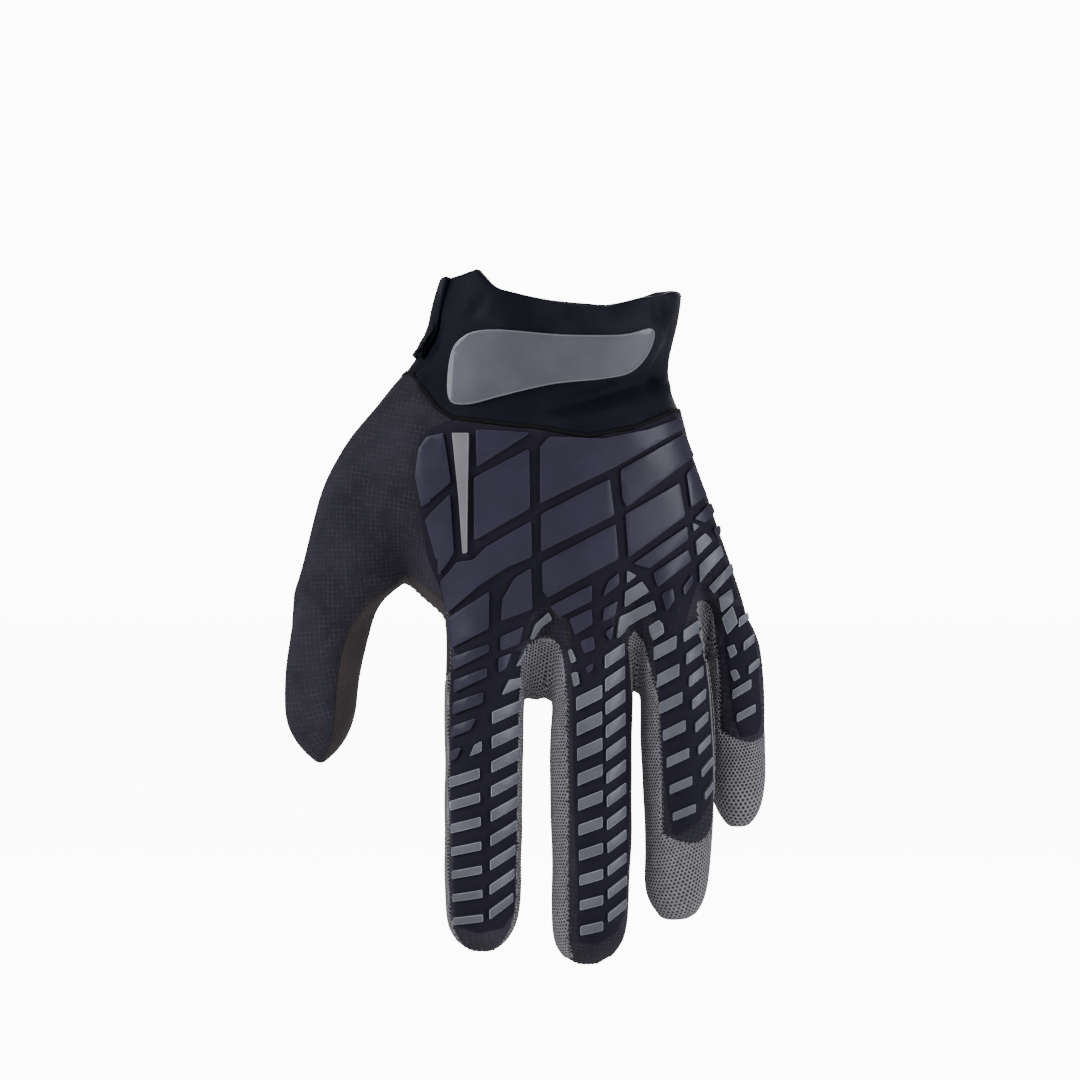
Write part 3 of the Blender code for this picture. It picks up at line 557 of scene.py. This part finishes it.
cuff = sewn_panel("cuff", "neoprene_cuff", -1.0, CUFF_LEVELS, crease=CUFF_CREASE)
flap = sewn_panel("cuff_flap", "cuff_closure", 1.0, CUFF_LEVELS)
for vertex in flap.data.vertices:
    frayed = max(min((RAW_EDGE_FROM - vertex.co.x) / RAW_EDGE_WIDTH, 1.0), 0.0)
    vertex.co += noise.noise_vector(vertex.co / RAW_EDGE_SIZE) * RAW_EDGE * frayed


def neoprene_finish():
    """Foam rubber with a fine knitted face, and lighter patches that are partly lint and partly
    painted soft highlight.
    """
    finish, tree, shader, places = finish_material(
        "neoprene_knit", NEOPRENE_COLOUR, NEOPRENE_ROUGHNESS,
        {"Specular IOR Level": 0.14, "Specular Tint": NEOPRENE_SHEEN, "Sheen Weight": 0.08,
         "Sheen Roughness": 0.30, "Sheen Tint": NEOPRENE_SHEEN})
    u, v = split(tree, places["UV"])[:2]
    ribs = work_out(tree, "MULTIPLY", wave(tree, u, KNIT_PITCH), wave(tree, v, KNIT_PITCH))
    # Lighter patches at random: partly lint, partly painted soft highlight
    lint_and_highlight = ease(tree, speckle(tree, places["Object"], 45.0, 6.0), 0.42, 0.72)
    put(tree, shader.inputs["Base Color"],
        blend_colours(tree, lint_and_highlight, NEOPRENE_COLOUR, NEOPRENE_LINT_AND_HIGHLIGHT))
    soft = bump(tree, speckle(tree, places["Object"], 60.0), FOAM_RELIEF, 0.35)
    put(tree, shader.inputs["Normal"], bump(tree, ribs, KNIT_RELIEF, 0.5, soft))
    return finish


neoprene_knit = neoprene_finish()
cuff.data.materials.append(neoprene_knit)
flap.data.materials.append(neoprene_knit)

# The seams.  A dark bound welt runs round the wrist where the cuff is sewn on, light
# thread whips the mesh to the woven back, a rolled cord edges the ring finger's mesh,
# and the leather is stitched along its edge.
WELT_THICK = 0.00085
WELT_STEP = 0.003
THREAD_THICK = 0.00014
THREAD_RISE = 0.00013
WHIPPED_BELOW = -0.078
WELT_COLOUR = (0.0030, 0.0028, 0.0055, 1.0)
LIGHT_THREAD = (0.270, 0.270, 0.290, 1.0)
LEATHER_THREAD = (0.085, 0.075, 0.074, 1.0)
WELT_GRAIN = 900.0
THREAD_GRAIN = 1500.0
TOUCHING = 0.001
LAY_FROM = -0.2
OUT_OF_BACK = Vector((0.0, -1.0, 0.0))
INTO_BACK = Vector((0.0, 1.0, 0.0))
NEAREST = 1e-6
CORD_THICK = 0.00042
CORD_STEPS = 8
RING_CORD = ((698, 632), (704, 648), (709, 690), (713, 750), (714, 800))
PANELS = ("back_panel", "thumb_back_panel", "palm_panel", "thumb_palm_panel", "cuff",
          "index_outer_gusset", "index_middle_gusset", "middle_ring_gusset", "ring_pinky_gusset")


def shell_of(*things):
    """Pieces as one surface that can be searched, with its points, normals and faces."""
    points, normals, faces = [], [], []
    for thing in things:
        start = len(points)
        points += [vertex.co.copy() for vertex in thing.data.vertices]
        normals += [vertex.normal.copy() for vertex in thing.data.vertices]
        faces += [[start + i for i in face.vertices] for face in thing.data.polygons]
    return BVHTree.FromPolygons(points, faces), points, normals, faces


def on_shell(shell, x, z, height):
    """The point at this height over the shell, seen from the front."""
    tree, points, normals, faces = shell
    hit, _, number, _ = tree.ray_cast(Vector((x, LAY_FROM, z)), INTO_BACK)
    if hit is None:
        hit, _, number, _ = tree.find_nearest(Vector((x, 0.0, z)))
    weights = [1.0 / ((points[i] - hit).length + NEAREST) for i in faces[number]]
    normal = sum((normals[i] * w for i, w in zip(faces[number], weights)), Vector())
    return hit + normal.normalized() * height


def beside_shell(shell, point, height):
    """The point at this height over the nearest place of the shell."""
    tree, points, normals, faces = shell
    hit, _, number, _ = tree.find_nearest(point)
    normal = sum((normals[i] for i in faces[number]), Vector())
    return hit + normal.normalized() * height


def is_outside(walls, face):
    """Whether a face of a wall is on the glove's outside.

    From there a line meets no other panel close by, and passes right through each finger
    on its way, which is four faces: two walls of two faces.
    """
    start = face.calc_center_median() + face.normal * MERGE_GAP
    met = walls.ray_cast(start, face.normal)[0]
    if met is not None and (met - start).length < TOUCHING:
        return False
    crossed = 0
    while met is not None:
        crossed += 1
        start = met + face.normal * MERGE_GAP
        met = walls.ray_cast(start, face.normal)[0]
    return crossed % 4 == 0


def seam_lines(node, walls):
    """The outer edge of a panel as runs of places, each with the way into the panel."""
    solid = bmesh.new()
    solid.from_mesh(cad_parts[node].data)
    bmesh.ops.remove_doubles(solid, verts=solid.verts, dist=MERGE_GAP)
    outside = {face for face in solid.faces if is_outside(walls, face)}
    edges = dict.fromkeys(edge for edge in solid.edges if len(edge.link_faces) == 2
                          and edge.calc_face_angle() > SEAM_ANGLE
                          and len(outside.intersection(edge.link_faces)) == 1)
    inward = {}
    for edge in edges:
        face = outside.intersection(edge.link_faces).pop()
        along = (edge.verts[1].co - edge.verts[0].co).normalized()
        into = face.calc_center_median() - edge.verts[0].co
        into = (into - along * into.dot(along)).normalized()
        for vertex in edge.verts:
            inward[vertex] = inward.get(vertex, Vector()) + into
    runs = []
    while edges:
        run = list(edges.popitem()[0].verts)
        for way in ("onward", "back"):
            onward = [edge for edge in run[-1].link_edges if edge in edges]
            while onward:
                del edges[onward[0]]
                run.append(onward[0].other_vert(run[-1]))
                onward = [edge for edge in run[-1].link_edges if edge in edges]
            run.reverse()
        runs.append([(crumple(vertex.co, OUT_OF_BACK), inward[vertex].normalized())
                     for vertex in run])
    solid.free()
    return runs


def evenly(run, pitch):
    """Places at an even pitch along a run."""
    places = []
    carried = 0.0
    for (here, way), (there, onward) in zip(run, run[1:]):
        length = (there - here).length
        while carried < length:
            share = carried / length
            places.append((here.lerp(there, share), way.lerp(onward, share)))
            carried += pitch
        carried -= length
    return places


def thread_piece(name, node, strands, thick, finish):
    """Strands of thread or cord as round tubes, on the piece of a CAD node."""
    cord = bpy.data.curves.new(name, "CURVE")
    cord.dimensions = "3D"
    cord.bevel_depth = thick
    cord.bevel_resolution = 1
    cord.use_fill_caps = True
    for strand in strands:
        spline = cord.splines.new("POLY")
        spline.points.add(len(strand) - 1)
        for point, place in zip(spline.points, strand):
            point.co = (*place, 1.0)
    piece = bpy.data.objects.new(name, cord)
    bpy.context.collection.objects.link(piece)
    only(piece)
    bpy.ops.object.convert(target="MESH")
    piece = bpy.context.object
    bpy.ops.object.shade_smooth()
    piece.data.materials.append(finish)
    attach(piece, "root")
    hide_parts(node)


def stitch_row(node, inset, lean, pitch, share, below):
    """Stitches along a panel's edge, each lying across it by the row's lean."""
    strands = []
    for run in seam_lines(node, walls):
        places = [place for place in evenly(run, pitch * share) if place[0].z < below]
        for number, (here, way) in enumerate(places[:-1]):
            there, onward = places[number + 1]
            if number % 2 or (there - here).length > pitch:
                continue
            first = here + way * (inset - lean)
            last = there + onward * (inset + lean)
            strands.append([beside_shell(whole_shell, first, 0.0),
                            beside_shell(whole_shell, first.lerp(last, 0.5), THREAD_RISE),
                            beside_shell(whole_shell, last, 0.0)])
    return strands


def plain_finish(name, colour, roughness, scale):
    """Thread and cord: one colour, a little uneven."""
    finish, tree, shader, places = finish_material(name, colour, roughness,
                                                   {"Specular IOR Level": 0.2})
    uneven = ease(tree, speckle(tree, places["Object"], scale), 0.3, 0.7)
    put(tree, shader.inputs["Base Color"], blend_colours(tree, uneven, shaded(colour, 0.7), colour))
    return finish


welt_binding = plain_finish("welt_binding", WELT_COLOUR, 0.7, WELT_GRAIN)
light_thread = plain_finish("light_thread", LIGHT_THREAD, 0.7, THREAD_GRAIN)
leather_thread = plain_finish("leather_thread", LEATHER_THREAD, 0.6, THREAD_GRAIN)

walls = shell_of(*[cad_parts[node] for node in PANELS])[0]
whole_shell = shell_of(back, thumb_back, palm, thumb_palm, cuff, *gussets)
wrist_edges = [run for run in seam_lines("cuff", walls)
               if max(place.z for place, _ in run) < 0.0]
welt_lines = [[beside_shell(whole_shell, place, 0.0) for place, _ in evenly(run, WELT_STEP)]
              for run in wrist_edges]
thread_piece("cuff_welt", "cuff", welt_lines, WELT_THICK, welt_binding)

# Each row: its name, its panel, how far in from the edge, the lean across it, the pitch,
# the share of the pitch between a stitch's ends, how high it goes, its thread and slot
STITCH_ROWS = (
    ("mesh_whipping", "back_panel", 0.0, 0.00032, 0.0016, 0.5, WHIPPED_BELOW,
     light_thread, "woven_fabric"),
    ("palm_stitches", "palm_panel", 0.0015, 0.0, 0.0022, 0.62, math.inf,
     leather_thread, "synthetic_leather"),
    ("thumb_stitches", "thumb_palm_panel", 0.0015, 0.0, 0.0022, 0.62, math.inf,
     leather_thread, "synthetic_leather"))

for name, node, inset, lean, pitch, share, below, thread, slot in STITCH_ROWS:
    strands = stitch_row(node, inset, lean, pitch, share, below)
    thread_piece(name, node, strands, THREAD_THICK, thread)

cord_route = [spot(*here).lerp(spot(*there), step / CORD_STEPS)
              for here, there in zip(RING_CORD, RING_CORD[1:]) for step in range(CORD_STEPS)]
cord_line = [on_shell(whole_shell, *place, 0.0) for place in cord_route]
thread_piece("ring_cord", "ring_pinky_gusset", [cord_line], CORD_THICK, light_thread)

# The hand guard.  A thin film of rubber is moulded onto the woven back, with raised
# blocks like a tyre's, dark on the hand and lighter between the knuckles.
FILM_HEIGHT = 0.00030
BLOCK_HEIGHT = 0.00125
BLOCK_EDGE = 0.00044
CORNER_ROUND = 0.00065
FILM_SOFT = 0.0001
FINGER_FILM_HEIGHT = 0.00024
LIGHT_CORNER_ROUND = 0.00039
RIM_SLOPE = (0.1, 0.99)
CREASE_ANGLE = math.radians(38.0)
STEEPEST = 0.34
PULL_IN = 0.04
PULLS = 12
CUT_STEP = 0.0025
FILM_COLOUR = (0.0120, 0.0100, 0.0215, 1.0)
# The rim colours are lighter: painted highlights on the blocks' bevelled edges
DARK_RUBBER = (0.0205, 0.0165, 0.0385, 1.0)
DARK_RIM_HIGHLIGHT = (0.052, 0.047, 0.080, 1.0)
LIGHT_RUBBER = (0.108, 0.114, 0.136, 1.0)
LIGHT_RIM_HIGHLIGHT = (0.400, 0.412, 0.455, 1.0)
RUBBER_SHEEN = (0.86, 0.87, 1.0, 1.0)
RUBBER_ROUGHNESS = 0.42
MOTTLE_SCALE = 90.0
GRIT_SCALE = 2600.0
GRIT_RELIEF = 0.00003

# The film's outline on the hand, as seen in the photograph
FILM_EDGE = (
    (446, 423), (430, 430), (420, 446), (416, 482), (421, 513), (428, 556), (439, 584),
    (446, 618), (450, 655), (478, 668), (506, 662), (524, 640), (530, 614), (548, 602),
    (563, 610), (574, 640), (592, 662), (604, 640), (612, 614), (634, 602), (653, 614),
    (664, 640), (682, 634), (690, 604), (698, 580), (712, 576), (722, 600), (738, 596),
    (730, 562), (713, 510), (695, 470), (682, 434), (678, 409), (660, 418), (632, 427),
    (592, 436), (552, 434), (511, 429), (480, 425), (459, 423))

# The same film runs on down each finger under its bars
FINGER_FILMS = (
    ((449, 650), (478, 660), (506, 656), (521, 650), (523, 700), (520, 800), (514, 912),
     (503, 928), (478, 933), (456, 926), (449, 780)),
    ((571, 636), (592, 652), (612, 630), (630, 640), (629, 800), (626, 915), (617, 932),
     (598, 943), (580, 942), (574, 800)),
    ((652, 636), (664, 622), (700, 630), (708, 690), (713, 760), (713, 806), (698, 822),
     (674, 836), (664, 780), (657, 700)),
    ((722, 606), (734, 590), (749, 606), (757, 650), (762, 720), (758, 734), (741, 738),
     (733, 710), (727, 660)))

# Corners of each dark block and each light one, as seen in the photograph
DARK_BLOCKS = (
    ((428, 438), (445, 433), (452, 482), (423, 507), (417, 476), (420, 450)),
    ((451, 494), (455, 552), (441, 574), (427, 519)),
    ((443, 580), (458, 561), (474, 559), (487, 546), (531, 521), (532, 556), (508, 566),
     (480, 584), (450, 612)),
    ((477, 431), (530, 434), (478, 467)),
    ((475, 478), (529, 449), (530, 508), (475, 540)),
    ((540, 447), (549, 437), (600, 440), (645, 431), (678, 419), (681, 429), (614, 467), (540, 503)),
    ((541, 514), (608, 479), (613, 515), (541, 551)),
    ((619, 470), (682, 434), (691, 457), (625, 507), (621, 498)),
    ((542, 562), (614, 524), (617, 558), (548, 596), (543, 590)),
    ((624, 514), (677, 483), (683, 516), (627, 557)),
    ((684, 474), (691, 467), (704, 495), (689, 508)),
    ((692, 519), (708, 503), (712, 513), (703, 523)),
    ((711, 529), (717, 522), (720, 533), (716, 539)),
    ((632, 563), (685, 526), (686, 539), (648, 568)),
    ((652, 573), (686, 549), (689, 560), (657, 587)),
    ((661, 594), (671, 588), (673, 600), (666, 611)),
    ((681, 587), (690, 574), (690, 583), (682, 596)),
    ((501, 620), (503, 598), (515, 577), (531, 567), (532, 607)),
    ((450, 618), (490, 590), (489, 628), (453, 648)),
    ((500, 636), (523, 625), (518, 642), (500, 650)),
    ((498, 657), (510, 652), (505, 667), (498, 672)),
    ((551, 605), (591, 584), (591, 600), (560, 616)),
    ((570, 618), (591, 608), (592, 623), (576, 634)),
    ((581, 640), (593, 635), (594, 648), (585, 653)),
    ((586, 667), (593, 662), (592, 669), (588, 673)),
    ((602, 596), (607, 581), (617, 572), (618, 583)),
    ((603, 608), (616, 600), (613, 615), (602, 621)),
    ((604, 632), (612, 625), (609, 640)),
    ((454, 657), (489, 643), (489, 651), (455, 670)),
    ((456, 680), (487, 667), (487, 676), (456, 692)),
    ((455, 702), (484, 691), (483, 702), (455, 714)),
    ((454, 726), (477, 717), (471, 729), (453, 737)),
    ((453, 750), (463, 746), (459, 757), (452, 761)))
LIGHT_BLOCKS = (
    ((626, 570), (635, 575), (626, 582)),
    ((624, 591), (641, 581), (648, 591), (623, 606)),
    ((618, 616), (653, 600), (656, 610), (626, 625), (622, 631), (615, 637)),
    ((649, 625), (659, 619), (664, 628), (653, 637)),
    ((691, 523), (697, 526), (692, 531)),
    ((694, 541), (703, 533), (710, 541), (696, 555)),
    ((698, 565), (718, 546), (721, 556), (699, 582)),
    ((709, 587), (729, 564), (731, 572), (714, 593)),
    ((719, 598), (729, 590), (732, 602), (722, 611)),
    ((529, 637), (535, 623), (549, 611), (553, 618), (541, 625), (533, 637)),
    ((514, 666), (523, 649), (530, 647), (528, 662)),
    ((501, 694), (508, 679), (525, 673), (525, 686)),
    ((471, 755), (475, 744), (482, 740), (482, 750)),
    ((570, 650), (573, 648), (577, 660), (573, 663)),
    ((573, 673), (578, 671), (580, 683), (575, 686)))


def hold_in(place, middle, shell):
    """Move a corner in until it lies on the glove's front, not round its side."""
    for _ in range(PULLS):
        hit, normal, _, _ = shell[0].ray_cast(Vector((place.x, LAY_FROM, place.y)), INTO_BACK)
        if hit is not None and normal.y < -STEEPEST:
            break
        place = place.lerp(middle, PULL_IN)
    return place


def flat_block(outline, shell):
    """One outline as a flat face that looks out of the back of the hand."""
    corners = [spot(*place) for place in outline]
    middle = sum(corners, Vector((0.0, 0.0))) / len(corners)
    corners = [hold_in(place, middle, shell) for place in corners]
    area = sum(a.x * b.y - b.x * a.y for a, b in zip(corners, corners[1:] + corners[:1]))
    if area < 0.0:
        corners.reverse()
    bpy.ops.mesh.primitive_circle_add(vertices=len(corners), fill_type="NGON",
                                      rotation=(QUARTER_TURN, 0.0, 0.0))
    flat = bpy.context.object
    bpy.ops.object.transform_apply(location=True, rotation=True, scale=True)
    if flat.data.polygons[0].normal.y > 0.0:
        corners.reverse()
    order = list(flat.data.polygons[0].vertices)
    for number, place in zip(order, corners):
        flat.data.vertices[number].co = (place.x, 0.0, place.y)
    return flat


def cut_up(piece):
    """Cut a flat piece in a grid, so that it can bend over the glove."""
    for axis, direction in ((0, (1.0, 0.0, 0.0)), (2, (0.0, 0.0, 1.0))):
        low = min(vertex.co[axis] for vertex in piece.data.vertices)
        high = max(vertex.co[axis] for vertex in piece.data.vertices)
        bpy.ops.object.mode_set(mode="EDIT")
        for number in range(1, int((high - low) / CUT_STEP) + 1):
            place = [0.0, 0.0, 0.0]
            place[axis] = low + number * CUT_STEP
            bpy.ops.mesh.select_all(action="SELECT")
            bpy.ops.mesh.bisect(plane_co=place, plane_no=direction)
        bpy.ops.object.mode_set(mode="OBJECT")


def moulding(name, node, outlines, height, edge, corner, shell, finishes):
    """Flat outlines raised into blocks with bevelled edges and laid on the glove; the bevels'
    sloping faces take the second finish, a lighter colour painted as a highlight.
    """
    flats = [flat_block(outline, shell) for outline in outlines]
    piece = flats[0]
    only(piece)
    for flat in flats:
        flat.select_set(True)
    if len(flats) > 1:
        bpy.ops.object.join()
    piece.name = name
    piece.data.name = name
    for finish in finishes:
        piece.data.materials.append(finish)
    bpy.ops.object.mode_set(mode="EDIT")
    bpy.ops.mesh.select_mode(type="FACE")
    bpy.ops.mesh.select_all(action="SELECT")
    if corner:
        bpy.ops.mesh.bevel(offset=corner, segments=3, affect="VERTICES", clamp_overlap=True)
    bpy.ops.mesh.select_all(action="SELECT")
    bpy.ops.mesh.extrude_region_move(TRANSFORM_OT_translate={"value": (0.0, -height, 0.0)})
    bpy.ops.mesh.region_to_loop()
    bpy.ops.mesh.bevel(offset=edge, segments=2, affect="EDGES", clamp_overlap=True)
    bpy.ops.object.mode_set(mode="OBJECT")
    # The bevel's sloping faces take the rim finish, a painted highlight
    for face in piece.data.polygons:
        sloping = RIM_SLOPE[0] < -face.normal.y < RIM_SLOPE[1]
        face.material_index = 1 if sloping and len(finishes) > 1 else 0
    cut_up(piece)
    for vertex in piece.data.vertices:
        vertex.co = on_shell(shell, vertex.co.x, vertex.co.z, -vertex.co.y)
    bpy.ops.object.shade_smooth_by_angle(angle=CREASE_ANGLE)
    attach(piece, "root")
    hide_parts(node)


def rubber_group():
    """Moulded rubber: a faint mottle, and dust that lightens it."""
    group, given, result = new_group("moulded_rubber", (("Place", None), ("Mottle", MOTTLE_SCALE)),
                                     ("Dust", "Roughness", "Height"))
    node = group.nodes.new("ShaderNodeTexNoise")
    put(group, node.inputs["Vector"], given["Place"])
    put(group, node.inputs["Scale"], given["Mottle"])
    mottle = node.outputs["Fac"]
    put(group, result["Dust"], ease(group, mottle, 0.30, 0.72))
    put(group, result["Roughness"], work_out(group, "MULTIPLY_ADD", mottle, 0.16, 0.34))
    put(group, result["Height"], speckle(group, given["Place"], GRIT_SCALE))
    return group


moulded_rubber = rubber_group()


def rubber_finish(name, colour, lift=1.35, coat=0.0, matt=0.0):
    """Moulded rubber, lightened by its dust, with a share of coat or of mattness."""
    finish, tree, shader, places = finish_material(
        name, colour, RUBBER_ROUGHNESS,
        {"Specular IOR Level": 0.5 * (1.0 - matt), "Specular Tint": RUBBER_SHEEN,
         "Coat Weight": coat})
    rubber = use_group(tree, moulded_rubber, Place=places["Object"])
    dusty = blend_colours(tree, rubber["Dust"], colour, shaded(colour, lift))
    put(tree, shader.inputs["Base Color"], dusty)
    put(tree, shader.inputs["Roughness"], work_out(tree, "ADD", rubber["Roughness"], matt * 0.5))
    put(tree, shader.inputs["Normal"], bump(tree, rubber["Height"], GRIT_RELIEF, 0.5))
    return finish


film_rubber = rubber_finish("film_rubber", FILM_COLOUR, matt=0.6)
dark_rubber = rubber_finish("dark_rubber", DARK_RUBBER)
dark_rim_highlight = rubber_finish("dark_rubber_rim_highlight", DARK_RIM_HIGHLIGHT)
light_rubber = rubber_finish("light_rubber", LIGHT_RUBBER)
light_rim_highlight = rubber_finish("light_rubber_rim_highlight", LIGHT_RIM_HIGHLIGHT)
back_shell = shell_of(back, thumb_back)

# Each moulding: its name, outlines, height, bevelled edge, rounded corner and finishes; a second
# finish is a painted highlight on the bevel
GUARD_PARTS = (
    ("guard_film", [FILM_EDGE], FILM_HEIGHT, FILM_SOFT, 0.0, [film_rubber]),
    ("finger_films", FINGER_FILMS, FINGER_FILM_HEIGHT, FILM_SOFT, CORNER_ROUND, [film_rubber]),
    ("guard_blocks", DARK_BLOCKS, BLOCK_HEIGHT, BLOCK_EDGE, CORNER_ROUND,
     [dark_rubber, dark_rim_highlight]),
    ("guard_light_blocks", LIGHT_BLOCKS, BLOCK_HEIGHT, BLOCK_EDGE, LIGHT_CORNER_ROUND,
     [light_rubber, light_rim_highlight]))

for name, outlines, height, edge, corner, finishes in GUARD_PARTS:
    moulding(name, "hand_guard", outlines, height, edge, corner, back_shell, finishes)

# The finger treads.  Slanted bars of the light rubber stand in two files down the back of
# each finger, moulded on the film that runs down from the hand.
BAR_HEIGHT = 0.00120
BAR_EDGE = 0.00042
BAR_CORNER = 0.00035

# Each file of bars, in the photograph's pixels: left edge, right edge and lower left corner
# of its first bar, the same of its last, how many bars, and how thick the first and last
# are and how far they rise to the right
BAR_FILES = {
    "index_tread": (
        ((452, 480, 787), (455, 483, 924), 7, (10, 7), (10, 4)),
        ((492, 520, 723), (489, 511, 918), 9, (12, 9), (13, 17))),
    "middle_tread": (
        ((577, 601, 710), (581, 602, 934), 10, (13, 9), (13, 5)),
        ((604, 622, 668), (607, 624, 921), 12, (13, 9), (13, 14))),
    "ring_tread": (
        ((655, 675, 660), (673, 694, 820), 7, (13, 8), (12, 9)),
        ((682, 696, 642), (703, 712, 799), 8, (12, 7), (10, 13))),
    "pinky_tread": (
        ((733, 750, 699), (737, 754, 722), 2, (9, 8), (11, 10)),
        ((738, 747, 627), (748, 757, 674), 3, (9, 8), (8, 8)))}

# Corners of the blocks that stand by themselves beside the files
SINGLE_BARS = {
    "ring_tread": (((652, 627), (662, 621), (664, 632), (654, 640)),),
    "pinky_tread": (((724, 615), (731, 606), (737, 622), (728, 634)),
                    ((728, 647), (734, 644), (737, 653), (731, 658)),
                    ((731, 671), (736, 669), (740, 677), (734, 681)))}


def bar_file(first, last, count, thickness, rise):
    """The outlines of one file, each bar between its first and last."""
    bars = []
    for number in range(count):
        share = number / (count - 1)
        left, right, low = (a + (b - a) * share for a, b in zip(first, last))
        thick = thickness[0] + (thickness[1] - thickness[0]) * share
        up = rise[0] + (rise[1] - rise[0]) * share
        bars.append(((left, low), (right, low - up), (right, low - up - thick),
                     (left, low - thick)))
    return bars


for tread_name, files in BAR_FILES.items():
    bars = [bar for file in files for bar in bar_file(*file)]
    bars.extend(SINGLE_BARS.get(tread_name, ()))
    moulding(tread_name.replace("tread", "bars"), tread_name, bars, BAR_HEIGHT, BAR_EDGE,
             BAR_CORNER, back_shell, [light_rubber, light_rim_highlight])

# The rib and the plate.  A long tapered rib stands between the blocks on the thumb side,
# and a plain swept plate of the same grey rubber is bonded to the cuff.
# The rim colours are lighter: painted highlights on the rib's and the plate's bevelled edges
GREY_RUBBER = (0.215, 0.215, 0.235, 1.0)
GREY_RIM_HIGHLIGHT = (0.330, 0.330, 0.350, 1.0)
PLATE_RUBBER = (0.098, 0.100, 0.124, 1.0)
PLATE_RIM_HIGHLIGHT = (0.210, 0.215, 0.240, 1.0)
RIB_OUTLINE = ((454, 434), (470, 434), (469, 480), (468, 552), (464, 552), (460, 500))
RIB_HEIGHT = 0.0020
RIB_EDGE = 0.0006
RIB_CORNER = 0.0003
PLATE_OUTLINE = ((450, 400), (451, 362), (462, 340), (490, 331), (560, 336), (620, 336),
                 (650, 330), (647, 352), (630, 372), (600, 380), (550, 386), (500, 398),
                 (468, 406))
PLATE_HEIGHT = 0.0014
PLATE_EDGE = 0.0004
PLATE_STEPS = 5
RIB_COAT = 0.15
PLATE_COAT = 0.3
FACE_DUST = 1.15
RIM_DUST = 1.1


def swept(outline, steps):
    """A smooth closed outline through its points."""
    count = len(outline)
    places = []
    for number in range(count):
        before, here, there, after = (Vector(outline[(number + way) % count])
                                      for way in (-1, 0, 1, 2))
        for step in range(steps):
            share = step / steps
            place = (here * 2.0 + (there - before) * share
                     + (before * 2.0 - here * 5.0 + there * 4.0 - after) * share ** 2
                     + (here * 3.0 - before - there * 3.0 + after) * share ** 3) / 2.0
            places.append(tuple(place))
    return places


grey_rubber = rubber_finish("grey_rubber", GREY_RUBBER, FACE_DUST, RIB_COAT)
grey_rim_highlight = rubber_finish("grey_rubber_rim_highlight", GREY_RIM_HIGHLIGHT, RIM_DUST, RIB_COAT)
plate_rubber = rubber_finish("plate_rubber", PLATE_RUBBER, FACE_DUST, PLATE_COAT)
plate_rim_highlight = rubber_finish("plate_rubber_rim_highlight", PLATE_RIM_HIGHLIGHT, RIM_DUST, PLATE_COAT)
moulding("tapered_rib", "back_rib", [RIB_OUTLINE], RIB_HEIGHT, RIB_EDGE, RIB_CORNER,
         back_shell, [grey_rubber, grey_rim_highlight])
plate_outline = swept(PLATE_OUTLINE, PLATE_STEPS)
moulding("swept_plate", "cuff_plate", [plate_outline], PLATE_HEIGHT, PLATE_EDGE, 0.0,
         shell_of(cuff), [plate_rubber, plate_rim_highlight])
